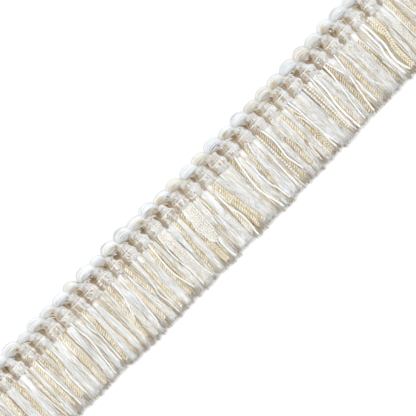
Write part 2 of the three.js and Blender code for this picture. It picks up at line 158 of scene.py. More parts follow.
# Sheaves of floss: rows of y, left edge, right edge.
SHEAVES = [
    ((6.8, -115.2, -113.9), (-16.5, -115.1, -114.3)),
    ((6.8, -113.0, -109.0), (0, -113.0, -109.2), (-16.5, -113.2, -109.4)),
    ((6.8, -108.4, -106.8), (-16.5, -108.8, -107.6)),
    ((6.8, -105.9, -104.0), (-8, -106.0, -104.4), (-16.5, -106.4, -104.4)),
    ((6.8, -101.3, -98.1), (0, -101.0, -97.7), (-8, -101.0, -97.8), (-16.5, -101.5, -98.2)),
    ((7.0, -95.4, -94.5), (-8, -95.8, -94.9), (-16.5, -96.2, -95.2)),
    ((7.0, -94.1, -90.8), (2, -94.0, -91.1), (-5, -95.0, -92.9), (-16.5, -95.2, -93.2)),
    ((7.0, -88.8, -87.2), (0, -88.5, -87.2), (-8, -88.7, -87.8), (-16.0, -89.7, -88.0)),
    ((6.5, -84.8, -83.6), (-8, -84.6, -83.5), (-16.0, -84.4, -83.2)),
    ((7.0, -82.0, -80.9), (0, -81.7, -81.1), (-8, -82.4, -82.0)),
    ((7.0, -78.8, -75.9), (0, -78.8, -76.2), (-8, -79.7, -76.2), (-16.0, -80.0, -76.3)),
    ((6.5, -75.7, -73.9), (0, -76.2, -74.2), (-8, -76.1, -74.9), (-16.5, -76.2, -74.9)),
    ((6.5, -71.2, -70.3), (0, -71.0, -70.4), (-8, -71.0, -70.3), (-17.0, -71.8, -70.8)),
    ((6.5, -69.4, -66.4), (0, -69.0, -67.2), (-8, -69.0, -67.6), (-17.0, -70.5, -68.0)),
    ((6.5, -65.3, -62.6), (0, -65.0, -62.9), (-8, -64.9, -63.3), (-17.0, -65.9, -63.9)),
    ((6.5, -58.9, -55.9), (0, -58.3, -56.0), (-8, -59.2, -56.9), (-16.0, -60.3, -57.1)),
    ((6.5, -55.5, -51.9), (0, -55.9, -53.9), (-8, -55.9, -53.5), (-17.0, -55.9, -53.6)),
    ((6.5, -52.2, -50.1), (0, -52.0, -50.4), (-8, -52.1, -50.6), (-17.0, -52.5, -51.2)),
    ((7.0, -48.9, -47.4), (1, -49.1, -48.0), (-5, -49.9, -48.8), (-15.0, -51.4, -50.1)),
    ((6.5, -46.1, -43.2), (0, -45.1, -42.8), (-6, -45.0, -43.4), (-17.0, -45.2, -43.7)),
    ((1.0, -43.3, -41.5), (-8, -43.3, -42.4), (-17.0, -44.3, -43.2)),
    ((6.5, -42.4, -40.5), (0, -42.5, -41.2), (-4, -42.6, -41.9)),
    ((5.0, -39.9, -38.6), (-4, -39.8, -38.0), (-10, -39.6, -37.2), (-16.5, -39.4, -36.2)),
    ((6.8, -34.5, -32.5), (0, -34.4, -33.0), (-8, -34.2, -33.3), (-17.0, -34.6, -33.4)),
    ((6.8, -32.3, -30.1), (0, -31.2, -30.1), (-6, -31.4, -30.2), (-12, -31.8, -31.0)),
    ((6.8, -29.5, -26.9), (0, -29.3, -27.5), (-8, -30.1, -28.4), (-17.0, -31.6, -28.5)),
    ((6.8, -24.0, -22.6), (0, -23.9, -22.8), (-8, -24.1, -22.6), (-17.0, -23.4, -22.2)),
    ((6.8, -20.2, -16.5), (-4, -20.8, -17.2), (-17.5, -20.7, -17.2)),
    ((6.8, -16.4, -15.0), (-4, -16.2, -15.1), (-17.5, -16.4, -15.3)),
    ((6.8, -15.3, -13.9), (0, -15.2, -14.3), (-8, -15.9, -15.0)),
    ((6.8, -12.0, -9.8), (0, -12.0, -10.3), (-8, -12.9, -11.6), (-17.0, -13.7, -11.6)),
    ((0.0, -11.3, -10.3), (-17.0, -11.8, -10.8)),
    ((6.8, -7.4, -2.4), (0, -7.2, -3.1), (-8, -6.0, -4.4), (-13, -5.2, -4.4)),
    ((6.8, -2.9, -0.8), (0, -2.9, -1.4), (-5, -3.0, -2.1)),
    ((-3.0, -0.6, 0.9), (-10, -1.2, 0.9), (-17.5, -2.2, 1.0)),
    ((6.8, 0.9, 4.7), (0, 1.2, 4.2), (-8, 1.0, 3.8), (-17.5, 1.0, 4.4)),
    ((6.8, 5.1, 7.0), (3, 5.3, 6.4), (-3, 6.2, 6.8)),
    ((6.8, 8.4, 10.8), (0, 9.3, 11.0), (-6, 10.2, 11.6), (-12, 11.4, 12.8), (-17.5, 12.4, 14.2)),
    ((6.8, 11.2, 13.5), (0, 12.0, 13.6), (-8, 12.6, 14.3), (-17.0, 13.8, 15.3)),
    ((6.8, 13.6, 17.3), (0, 13.4, 17.0), (-8, 14.2, 16.9), (-17.5, 14.9, 17.5)),
    ((6.5, 20.1, 22.3), (0, 20.1, 22.1), (-8, 19.2, 20.9), (-16, 19.6, 20.6)),
    ((6.8, 22.3, 24.7), (2, 22.8, 24.0), (-2, 22.8, 23.4)),
    ((-4, 20.7, 22.0), (-17.5, 20.9, 22.8)),
    ((6.0, 26.5, 30.8), (0, 25.8, 28.6), (-6, 25.2, 28.2), (-12, 24.2, 27.0), (-17.5, 24.4, 26.4)),
    ((6.8, 28.6, 30.9), (0, 28.9, 30.7), (-5, 29.1, 30.4), (-16, 28.6, 29.4)),
    ((-5, 27.3, 28.3), (-17.5, 27.1, 28.4)),
    ((6.8, 34.5, 37.8), (0, 35.1, 37.1), (-6, 35.1, 36.9), (-12, 35.3, 37.0), (-17.5, 35.9, 37.9)),
    ((6.8, 38.0, 39.0), (-2, 38.0, 38.8)),
    ((6.8, 40.1, 44.8), (0, 40.5, 44.2), (-6, 40.3, 43.0), (-11, 39.3, 41.5), (-17.0, 38.1, 41.0)),
    ((-7, 43.5, 44.6), (-17.5, 43.5, 44.8)),
    ((6.8, 45.0, 47.1), (0, 45.1, 46.7), (-7, 45.2, 46.6), (-15, 45.0, 46.4)),
    ((6.8, 49.4, 51.4), (0, 49.8, 52.0), (-8, 50.1, 52.2), (-16, 51.0, 53.2)),
    ((6.8, 51.2, 55.4), (0, 51.6, 55.2), (-8, 52.0, 55.5), (-13, 52.8, 56.1), (-17.5, 54.0, 57.2)),
    ((6.8, 58.4, 60.1), (0, 58.6, 59.6), (-6, 58.3, 59.2)),
    ((6.8, 61.0, 62.9), (2, 61.0, 61.8)),
    ((6.8, 62.8, 64.5), (0, 62.6, 64.2), (-8, 62.6, 64.2), (-17.0, 62.8, 64.0)),
    ((6.8, 65.2, 66.0), (0, 65.0, 65.9), (-4, 65.2, 65.7)),
    ((-4, 65.9, 67.0), (-16.5, 65.3, 66.6)),
    ((1, 67.0, 68.0), (-8, 66.8, 67.8), (-16, 66.4, 67.2)),
    ((6.8, 69.2, 71.7), (2, 70.2, 71.7), (-3, 70.8, 71.4)),
    ((6.0, 72.9, 74.2), (0, 72.1, 73.4), (-7, 72.5, 73.4), (-17.0, 72.6, 73.5)),
    ((6.8, 74.6, 76.3), (0, 75.0, 76.7), (-8, 75.1, 76.5), (-12, 75.6, 76.4)),
    ((6.8, 77.5, 82.4), (0, 77.8, 82.2), (-8, 78.2, 82.4), (-14, 77.6, 82.2), (-17.5, 77.7, 82.0)),
    ((6.8, 82.1, 85.2), (2, 82.0, 83.0), (-4, 81.6, 82.3)),
    ((4.5, 84.4, 85.6), (-4, 84.6, 85.6), (-12, 84.9, 86.0), (-17, 85.0, 86.0)),
    ((7.2, 86.5, 89.3), (3, 86.8, 89.1), (-2, 87.4, 88.4)),
    ((7.2, 91.5, 93.3), (4, 91.8, 92.6)),
    ((6.5, 94.0, 95.7), (0, 94.2, 95.2), (-5, 93.2, 94.6), (-12, 92.8, 94.1), (-17.0, 92.3, 93.6)),
    ((6.8, 95.4, 98.7), (0, 95.4, 98.6), (-8, 95.6, 98.6), (-17.0, 95.3, 98.2)),
    ((6.8, 98.8, 100.0), (-8, 98.8, 99.9), (-17.0, 98.8, 100.1)),
    ((5.5, 102.4, 104.0), (0, 103.4, 104.9), (-8, 104.1, 105.4), (-17.0, 104.5, 106.0)),
    ((6.8, 107.2, 111.0), (-4, 107.6, 110.8), (-17.0, 107.4, 111.4)),
    ((6.8, 112.8, 115.4), (-17.0, 113.0, 115.8)),
    ((6.8, 116.6, 118.1), (-17.0, 116.8, 118.1)),
]

# Bright tightly spun cords that wander over the sheaves: width, then y, x down the cord.
BRIGHT = [
    (0.5, (6.5, -111.2), (0, -111.6), (-8, -111.2), (-17.0, -111.9)),
    (0.5, (6.5, -106.3), (0, -106.4), (-8, -106.7), (-16.5, -106.9)),
    (0.45, (6.0, -104.9), (-8, -105.2), (-16.0, -105.5)),
    (0.5, (5.0, -100.6), (-5, -101.0), (-16.0, -101.5)),
    (0.45, (4.0, -99.5), (-5, -99.8), (-15.0, -100.3)),
    (0.45, (0.5, -93.0), (-6, -92.7), (-12, -92.7), (-16.0, -92.4)),
    (0.55, (2.0, -92.4), (-5, -92.0), (-10, -91.7), (-16.3, -91.1)),
    (0.7, (-10.0, -89.6), (-13, -89.9), (-16.4, -90.0)),
    (0.85, (6.6, -85.4), (0, -85.1), (-8, -84.8), (-16.2, -84.7)),
    (0.8, (-2.0, -79.1), (-4, -79.6), (-7, -80.2), (-11, -80.3), (-14.8, -80.2)),
    (0.5, (4.5, -77.2), (-1, -76.7), (-6, -76.4), (-12, -76.6)),
    (0.6, (7.0, -73.3), (3, -73.7), (0, -73.9)),
    (0.65, (-0.5, -73.3), (-4, -74.0), (-8, -74.6), (-14, -74.7), (-17.4, -74.2)),
    (0.6, (6.0, -72.5), (0, -72.8), (-4, -72.9)),
    (0.5, (5.8, -68.3), (3.5, -68.9), (1, -69.3), (-2, -69.0), (-6, -69.1)),
    (0.55, (6.0, -66.4), (2, -66.9), (0, -67.3), (-3, -67.9)),
    (0.8, (6.8, -66.0), (2, -65.6), (-3, -65.3), (-7, -66.0), (-12, -66.8), (-17.6, -67.6)),
    (0.6, (4.0, -62.4), (-1, -62.0), (-4, -61.5), (-8, -61.7), (-12, -62.0), (-15.6, -62.4)),
    (0.65, (-0.5, -62.9), (-8, -63.0), (-12, -63.4), (-15.6, -63.5)),
    (0.55, (6.8, -60.4), (0, -60.7), (-2, -60.9)),
    (0.5, (5.5, -56.3), (-2, -56.8), (-10, -57.5), (-15, -58.0)),
    (0.6, (1.5, -53.7), (-5, -53.3), (-11, -53.4), (-16.8, -53.3)),
    (0.65, (6.8, -44.5), (1, -45.0), (-2, -45.6), (-5, -47.0), (-10, -48.8), (-14.8, -50.4)),
    (0.8, (6.5, -40.5), (0, -41.0), (-5, -41.7), (-9, -42.2), (-15.3, -43.0)),
    (0.55, (5.5, -38.9), (0, -38.5), (-5, -38.0), (-10, -37.3), (-15.5, -36.3)),
    (0.45, (3.0, -38.2), (-3, -37.4), (-8, -36.8)),
    (0.65, (6.8, -33.5), (0, -33.9), (-2, -34.1)),
    (0.7, (-1.0, -34.1), (-6, -34.7), (-9, -35.4), (-13, -34.9), (-18.2, -34.9)),
    (0.45, (3.0, -28.2), (-1, -29.0), (-4, -29.9), (-7, -30.3), (-12, -30.9)),
    (0.45, (3.0, -27.4), (-1, -27.8), (-5, -28.6)),
    (0.85, (6.9, -25.1), (2, -25.6), (-2, -26.0), (-6, -26.2), (-9, -25.9), (-12, -25.3), (-16.1, -24.3)),
    (0.7, (6.9, -20.3), (3, -21.0), (0, -21.6), (-4, -21.6), (-7, -21.1), (-12, -21.0), (-17.9, -21.2)),
    (0.45, (-7.0, -22.0), (-16.0, -21.9)),
    (0.5, (6.5, -18.7), (2, -18.3), (-1, -18.0)),
    (0.65, (-3.5, -16.7), (-8, -17.0), (-12, -17.1), (-15, -16.8), (-17.8, -16.5)),
    (0.5, (6.6, -13.8), (2, -14.1), (-1, -14.3)),
    (0.5, (6.6, -13.2), (1, -13.3), (-2, -13.2)),
    (0.5, (3.0, -10.7), (-5, -10.9), (-12, -11.4), (-16, -11.7)),
    (1.0, (-9.0, -5.1), (-12, -5.6), (-15, -5.6), (-18.8, -5.4)),
    (0.65, (6.6, -0.5), (2, -0.7), (-1, -1.0), (-5, -1.8), (-7, -2.2)),
    (0.55, (-6.0, 0.1), (-12, -0.3), (-18.0, -0.4)),
    (0.6, (-8.0, 0.8), (-17.8, 0.4)),
    (0.9, (4.2, 6.1), (0, 5.7), (-4, 5.8), (-7, 6.3), (-10.5, 7.0), (-14, 6.8), (-19.4, 6.0)),
    (0.5, (-11.0, 4.8), (-17.8, 4.7)),
    (0.45, (-7.0, 12.3), (-13, 12.6), (-16.5, 13.9)),
    (0.9, (6.9, 20.3), (4, 19.7), (0, 19.0), (-3, 18.4), (-6, 18.1), (-9, 18.1), (-12, 18.7), (-15, 19.5), (-18.8, 20.3)),
    (0.85, (5.0, 22.2), (1, 22.6), (-5, 22.3), (-9, 22.4), (-11, 22.9), (-13, 23.4), (-17.9, 24.0)),
    (0.8, (7.0, 27.5), (3.5, 26.5), (1.5, 26.3)),
    (0.7, (-5.5, 27.2), (-9, 27.1), (-13, 26.9), (-17.9, 26.6)),
    (0.4, (4.8, 30.4), (0, 30.5), (-3, 30.4)),
    (0.8, (-7.0, 29.9), (-12, 29.5), (-18.5, 29.9)),
    (0.55, (-13.0, 30.8), (-18.7, 30.9)),
    (0.9, (6.9, 34.2), (4, 34.7), (0, 34.9), (-4, 34.3), (-7, 34.0), (-10, 34.5), (-14, 35.2)),
    (0.4, (0.5, 38.9), (-5, 39.4)),
    (0.6, (-8.0, 43.5), (-11, 42.9), (-16.8, 42.3)),
    (0.45, (-8.5, 43.4), (-12, 44.0), (-16.5, 44.5)),
    (0.4, (-6.0, 41.5), (-12, 42.1), (-15, 41.9)),
    (0.55, (7.0, 47.4), (3, 47.9), (0, 48.7), (-3, 49.3)),
    (0.9, (7.0, 48.6), (3, 49.0), (0, 49.3), (-4, 49.5), (-9, 49.5), (-13, 49.5), (-17.4, 49.6)),
    (0.8, (-7.0, 49.8), (-13, 50.2), (-16.8, 51.0)),
    (0.6, (3.0, 46.7), (-2, 48.2), (-6, 48.9)),
    (0.8, (6.9, 60.8), (4, 60.4), (0, 59.9), (-5, 59.4), (-9, 59.0), (-14, 58.9), (-18.2, 59.1)),
    (1.1, (6.0, 62.0), (1, 61.9), (-3, 61.3), (-6, 60.7), (-9, 60.5), (-13, 60.5), (-18.7, 60.8)),
    (0.45, (7.0, 62.6), (5, 64.0), (3, 64.8), (1, 65.5)),
    (0.9, (6.9, 67.6), (2, 67.2), (-3, 66.5), (-7, 65.8), (-11, 65.0), (-15, 64.6), (-17.6, 64.3)),
    (0.7, (7.0, 68.7), (3, 69.7), (0, 70.6), (-1.8, 71.1)),
    (0.9, (-1.5, 72.0), (-4, 71.3), (-7, 70.6), (-11, 69.8), (-15, 69.1), (-18.0, 68.8)),
    (0.8, (6.6, 73.1), (2, 72.4), (-1.5, 71.7)),
    (0.9, (-5.0, 72.2), (-9, 71.8), (-13, 71.8), (-16.5, 72.1)),
    (0.5, (-12.0, 70.0), (-18.0, 70.5)),
    (0.55, (5.0, 76.6), (2, 77.3), (-1, 78.1)),
    (0.6, (6.5, 75.4), (2, 76.0), (-3, 76.6)),
    (0.6, (-7.5, 75.5), (-11, 76.5), (-14.5, 78.0)),
    (0.55, (5.0, 83.4), (1, 83.9), (-4, 84.0)),
    (0.45, (-7.0, 84.0), (-12, 84.5), (-17.3, 84.9)),
    (1.05, (6.5, 87.3), (0, 87.3), (-4, 87.0), (-6, 86.4), (-11, 86.2), (-14, 86.4), (-16.9, 86.7)),
    (1.15, (6.5, 88.7), (0, 88.9), (-4, 88.8), (-6.5, 88.2), (-10, 87.7), (-13, 88.0), (-16.8, 89.0)),
    (0.5, (5.0, 96.1), (1, 97.0), (-3, 97.5)),
    (0.6, (6.5, 99.5), (0, 99.5), (-8, 99.3), (-16.5, 99.6)),
    (0.6, (5.5, 103.3), (0, 104.4), (-8, 105.2), (-16.5, 105.9)),
    (0.6, (6.5, 109.4), (-3, 108.8), (-17.2, 109.6)),
    (0.8, (6.5, 113.9), (-6, 114.6), (-17.2, 114.1)),
    (0.5, (6.5, 117.3), (-17.0, 117.5)),
]

# Plied cords: depth of colour (0 pale cream, 1 deep gold), width, then y, x down the cord.
PLIED = [
    (0.7, 1.4, (7.0, -113.6), (-4, -113.3), (-17.0, -113.8)),
    (0.7, 1.0, (7.0, -107.6), (-2, -107.3), (-16.5, -107.7)),
    (0.3, 1.2, (7.0, -103.4), (-3, -103.8), (-16.5, -104.0)),
    (0.9, 1.0, (3.0, -102.3), (-5, -102.0), (-12, -102.6), (-17.0, -102.9)),
    (0.7, 1.5, (7.3, -96.9), (3, -96.6), (-2, -96.4), (-6, -96.8), (-11, -97.0), (-16.5, -97.3)),
    (0.9, 0.9, (6.0, -96.2), (0, -95.9), (-5, -96.3), (-16, -96.6)),
    (0.6, 0.8, (-7.0, -87.5), (-14.5, -87.5)),
    (0.25, 1.6, (7.2, -86.3), (0, -86.3), (-7, -86.3), (-14.6, -86.3)),
    (0.8, 1.4, (6.5, -83.2), (0, -83.0), (-4, -82.7), (-9, -82.9), (-14.5, -83.0)),
    (0.35, 1.5, (7.2, -79.4), (2, -79.2), (-1, -79.7), (-4, -80.9), (-8, -81.6), (-14.3, -81.8)),
    (0.95, 0.6, (-1.0, -75.5), (-8, -75.6), (-14, -75.6)),
    (0.35, 1.6, (7.2, -72.0), (2, -71.9), (-5, -72.1), (-10, -72.4), (-17.4, -72.8)),
    (0.9, 0.6, (3.0, -66.2), (-3, -66.1), (-9, -66.4)),
    (0.7, 1.7, (7.2, -59.7), (2, -59.3), (-3, -59.9), (-8, -60.2), (-13, -60.7), (-16.8, -61.1)),
    (0.95, 0.55, (0, -58.6), (-6, -58.9), (-12, -59.8)),
    (1.0, 0.6, (3.0, -52.9), (-6, -52.5), (-15.5, -52.6)),
    (0.55, 1.5, (7.2, -46.6), (2, -47.3), (-3, -48.0), (-8, -48.7), (-16.2, -49.9)),
    (0.3, 1.9, (4.0, -40.2), (-2, -40.4), (-8, -40.5), (-16.4, -40.2)),
    (0.4, 1.6, (7.2, -37.5), (3, -37.2), (-3, -36.6), (-9, -36.2)),
    (0.3, 1.5, (3.0, -31.6), (-4, -32.1), (-9, -32.5), (-14, -32.7), (-17.8, -32.9)),
    (0.55, 1.5, (6.0, -26.3), (0, -26.8), (-6, -27.2), (-12, -27.2), (-16.6, -27.0)),
    (0.4, 1.1, (6.9, -24.7), (0, -24.6), (-6, -24.9), (-10, -24.6), (-15.6, -23.6)),
    (0.6, 1.5, (6.9, -12.4), (1, -12.8), (-4, -13.5), (-9, -14.2), (-16.8, -15.0)),
    (0.9, 1.2, (7.0, -8.7), (2, -8.7), (-4, -9.0), (-9, -8.9)),
    (0.8, 0.8, (-3.0, -3.2), (-9, -3.8), (-15, -4.0)),
    (0.85, 0.9, (-1.0, -1.1), (-3, -1.3), (-7, -2.1), (-12, -2.6)),
    (0.35, 1.1, (6.8, 0.2), (2, 0.4), (-4, 0.2)),
    (0.5, 1.7, (6.0, 7.5), (0, 7.8), (-5, 8.0), (-9, 8.7), (-13, 9.0), (-17, 8.6)),
    (0.35, 1.2, (6.0, 8.7), (-1, 9.0), (-6, 9.2)),
    (0.9, 0.7, (-5.0, 6.9), (-9, 7.6), (-13, 8.4)),
    (0.4, 1.3, (-4.0, 5.6), (-10, 5.5), (-16.8, 5.4)),
    (0.4, 1.5, (-2.0, 9.5), (-8, 10.0), (-12, 10.8), (-17.3, 11.7)),
    (0.8, 0.6, (4.0, 11.3), (-3, 11.9), (-9, 12.3)),
    (1.1, 1.0, (7.0, 18.5), (2, 18.4), (-3, 17.6), (-10, 17.3), (-15, 17.6)),
    (0.85, 0.8, (3.0, 19.9), (-1, 19.6), (-5, 19.1), (-9, 19.1), (-12, 19.6)),
    (0.55, 1.2, (7.0, 25.7), (3, 25.0), (0, 24.5), (-4, 24.1), (-10, 23.6)),
    (1.0, 1.4, (6.9, 33.0), (0, 33.2), (-8, 33.3), (-17.4, 33.6)),
    (0.75, 1.6, (-2.0, 38.9), (-10, 38.6), (-15, 38.8)),
    (0.3, 1.6, (6.0, 43.4), (-2, 43.8), (-8, 43.6)),
    (0.85, 1.2, (3.0, 46.9), (-5, 47.2), (-9, 47.4)),
    (0.8, 1.2, (-3.0, 56.3), (-8, 56.4), (-14, 56.0)),
    (0.7, 0.9, (3.0, 60.9), (-3, 60.3), (-8, 59.8)),
    (0.35, 1.4, (-4.0, 62.0), (-10, 61.9), (-17.9, 62.0)),
    (1.0, 1.7, (6.9, 68.0), (1, 68.4), (-4, 68.6), (-9, 68.5), (-13, 68.0), (-17.5, 67.5)),
    (0.9, 0.6, (1.0, 69.5), (-8, 69.4)),
    (0.8, 0.7, (-8.0, 70.6), (-16.5, 70.7)),
    (0.6, 1.7, (5.0, 74.2), (-3, 73.9), (-8, 73.7), (-17.0, 74.0)),
    (0.8, 0.6, (6.0, 76.5), (1, 77.3), (-3, 77.3), (-10, 77.5)),
    (0.75, 1.2, (4.0, 82.9), (0, 83.2), (-5, 82.8), (-8, 82.7), (-15, 83.1)),
    (0.8, 0.7, (5.0, 86.3), (-2, 86.2), (-6, 85.8), (-12, 85.6)),
    (0.9, 0.5, (-8.0, 87.0), (-14, 87.2)),
    (0.85, 0.8, (7.0, 89.8), (1, 89.9), (-4, 90.1), (-9, 89.6)),
    (0.35, 1.2, (7.0, 90.8), (2, 91.0), (-2, 91.3)),
    (0.8, 0.8, (6.8, 101.9), (0, 102.5), (-5, 103.2), (-16, 103.8)),
    (0.35, 1.6, (6.8, 106.2), (-6, 106.4), (-16.8, 106.8)),
    (0.4, 1.5, (6.8, 112.0), (-6, 112.2), (-16.8, 112.4)),
    (0.8, 1.1, (6.8, 116.0), (-6, 116.3), (-16.8, 116.4)),
]

# Flat chained cords, a herringbone of two mirrored twists: colour, width, then y, x.
CHAINED = [
    (0.6, 2.5, (-7.0, -8.8), (-12, -8.7), (-17.8, -8.6)),
    (0.9, 2.1, (-8.0, 47.4), (-13, 47.6), (-17.6, 47.5)),
    (0.3, 2.2, (5.0, 92.7), (0, 92.5), (-4, 91.7), (-8, 90.7), (-12, 90.6), (-16.8, 90.9)),
    (0.3, 1.8, (7.0, 101.0), (0, 100.6), (-6, 100.6), (-16.6, 100.8)),
]

# Crinkled yarn: colour, width of the tangle, count of strands, then y, x down its middle.
CRINKLED = [
    (0.35, 2.0, 4, (7.6, -103.2), (4, -102.7), (-1, -103.4), (-5, -103.2)),
    (0.3, 1.4, 3, (7.0, -90.2), (0, -90.3), (-8, -90.4), (-13, -90.2)),
    (0.1, 2.2, 5, (0.0, -46.0), (-6, -46.1), (-10, -46.3), (-18.2, -46.6)),
    (0.15, 1.4, 3, (-6.0, -38.6), (-17.0, -38.1)),
    (0.12, 4.3, 9, (7.2, -18.6), (0, -18.7), (-6, -18.9), (-12, -19.0), (-17.5, -19.0)),
    (0.2, 1.6, 4, (6.0, 6.8), (0, 6.9), (-5, 7.2)),
    (0.4, 1.2, 2, (5.5, 52.0), (0, 52.2), (-3, 52.4)),
    (0.2, 1.6, 3, (6.8, 39.6), (0, 39.4), (-6, 39.6)),
    (0.1, 1.4, 3, (-8.0, 45.8), (-17.5, 45.8)),
    (0.15, 3.2, 6, (0.0, 96.9), (-6, 96.9), (-17.0, 96.9)),
    (0.3, 1.6, 3, (5.0, 106.0), (-5, 105.8)),
    (0.2, 1.6, 3, (6.0, 79.8), (-4, 80.2), (-10, 79.8)),
    (0.2, 1.6, 3, (-4.0, 2.4), (-16, 2.4)),
]

# Knotted yarn that reads as a row of small beads: colour, width, then y, x.
BEADED = [
    (0.35, 1.15, (6.8, 31.7), (0, 31.8), (-5, 31.8), (-11, 31.9), (-15, 31.9)),
    (0.35, 1.15, (6.0, 56.4), (0, 56.6), (-5, 56.6)),
    (0.25, 1.15, (6.0, 57.8), (-5, 58.0), (-15.5, 57.7)),
    (0.4, 1.1, (1.0, -40.6), (-12, -40.9)),
]

# The stiff crinkled chunk: y, left edge, right edge. Its left side is scalloped.
CHUNK = [
    (7.0, -7.4, -2.6),
    (4.0, -8.0, -2.8),
    (1.0, -8.2, -3.0),
    (-2.0, -9.0, -3.2),
    (-4.5, -8.4, -3.3),
    (-7.5, -8.1, -4.2),
    (-9.5, -7.2, -4.8),
    (-11.2, -5.6, -5.0),
]


# ---- Colours, as linear numbers ----
def tint(hexed):
    s = np.array([int(hexed[i : i + 2], 16) / 255 for i in (0, 2, 4)])
    return np.where(s <= 0.04045, s / 12.92, ((s + 0.055) / 1.055) ** 2.4)


WHITE = tint("f7f7f7")
COOL = tint("f3f6f9")
WARM = tint("f4f0e8")
CREAM = tint("e6dcc3")
GOLD = tint("ccb486")
DEEP = tint("b5975f")
TAN = tint("b9a486")
BROWN = tint("9f886b")
SHADE = tint("c0b7ab")
STONE = tint("cdc6b8")


def mix(a, b, t):
    t = np.asarray(t, float)[..., None]
    return a * (1 - t) + b * t


# ---- Curves ----
def stray(x):
    xs, ys = np.array(STRAY).T
    i = np.clip(np.searchsorted(xs, x) - 1, 0, len(xs) - 2)
    t = np.clip((x - xs[i]) / (xs[i + 1] - xs[i]), 0, 1)
    t = t * t * (3 - 2 * t)
    return ys[i] * (1 - t) + ys[i + 1] * t


def through(knots, values, at):
    """A smooth curve through values at rising knots, read at the places in at."""
    knots, values = np.asarray(knots, float), np.asarray(values, float)
    if len(knots) == 2:
        t = (at - knots[0]) / (knots[1] - knots[0])
        return values[0] + (values[1] - values[0]) * t
    slope = np.gradient(values, knots)
    i = np.clip(np.searchsorted(knots, at) - 1, 0, len(knots) - 2)
    h = knots[i + 1] - knots[i]
    t = np.clip((at - knots[i]) / h, 0, 1)
    a, b = 2 * t**3 - 3 * t**2 + 1, t**3 - 2 * t**2 + t
    c, d = -2 * t**3 + 3 * t**2, t**3 - t**2
    return a * values[i] + b * h * slope[i] + c * values[i + 1] + d * h * slope[i + 1]


def surface(y):
    ys, zs = np.array(SURFACE)[::-1].T
    return through(ys, zs, np.clip(y, ys[0], ys[-1]))


def reach_at(x):
    """The cut edge below a place along the trim, with a soft step from bundle to bundle."""
    middles = (np.array(GAP_TIP[1:]) + np.array(GAP_TIP[:-1])) / 2
    return np.interp(x, middles, REACH)


def wander(count, n, size, waves):
    """Slow sideways noise for each strand, zero at the top."""
    t = np.linspace(0, 1, n)[None, :]
    total = np.zeros((count, n))
    for w in waves:
        total += rng.normal(0, 1, (count, 1)) * np.sin(2 * np.pi * (w * t + rng.random((count, 1)))) / w**0.7
    return size * total * np.minimum(1, t * 4)


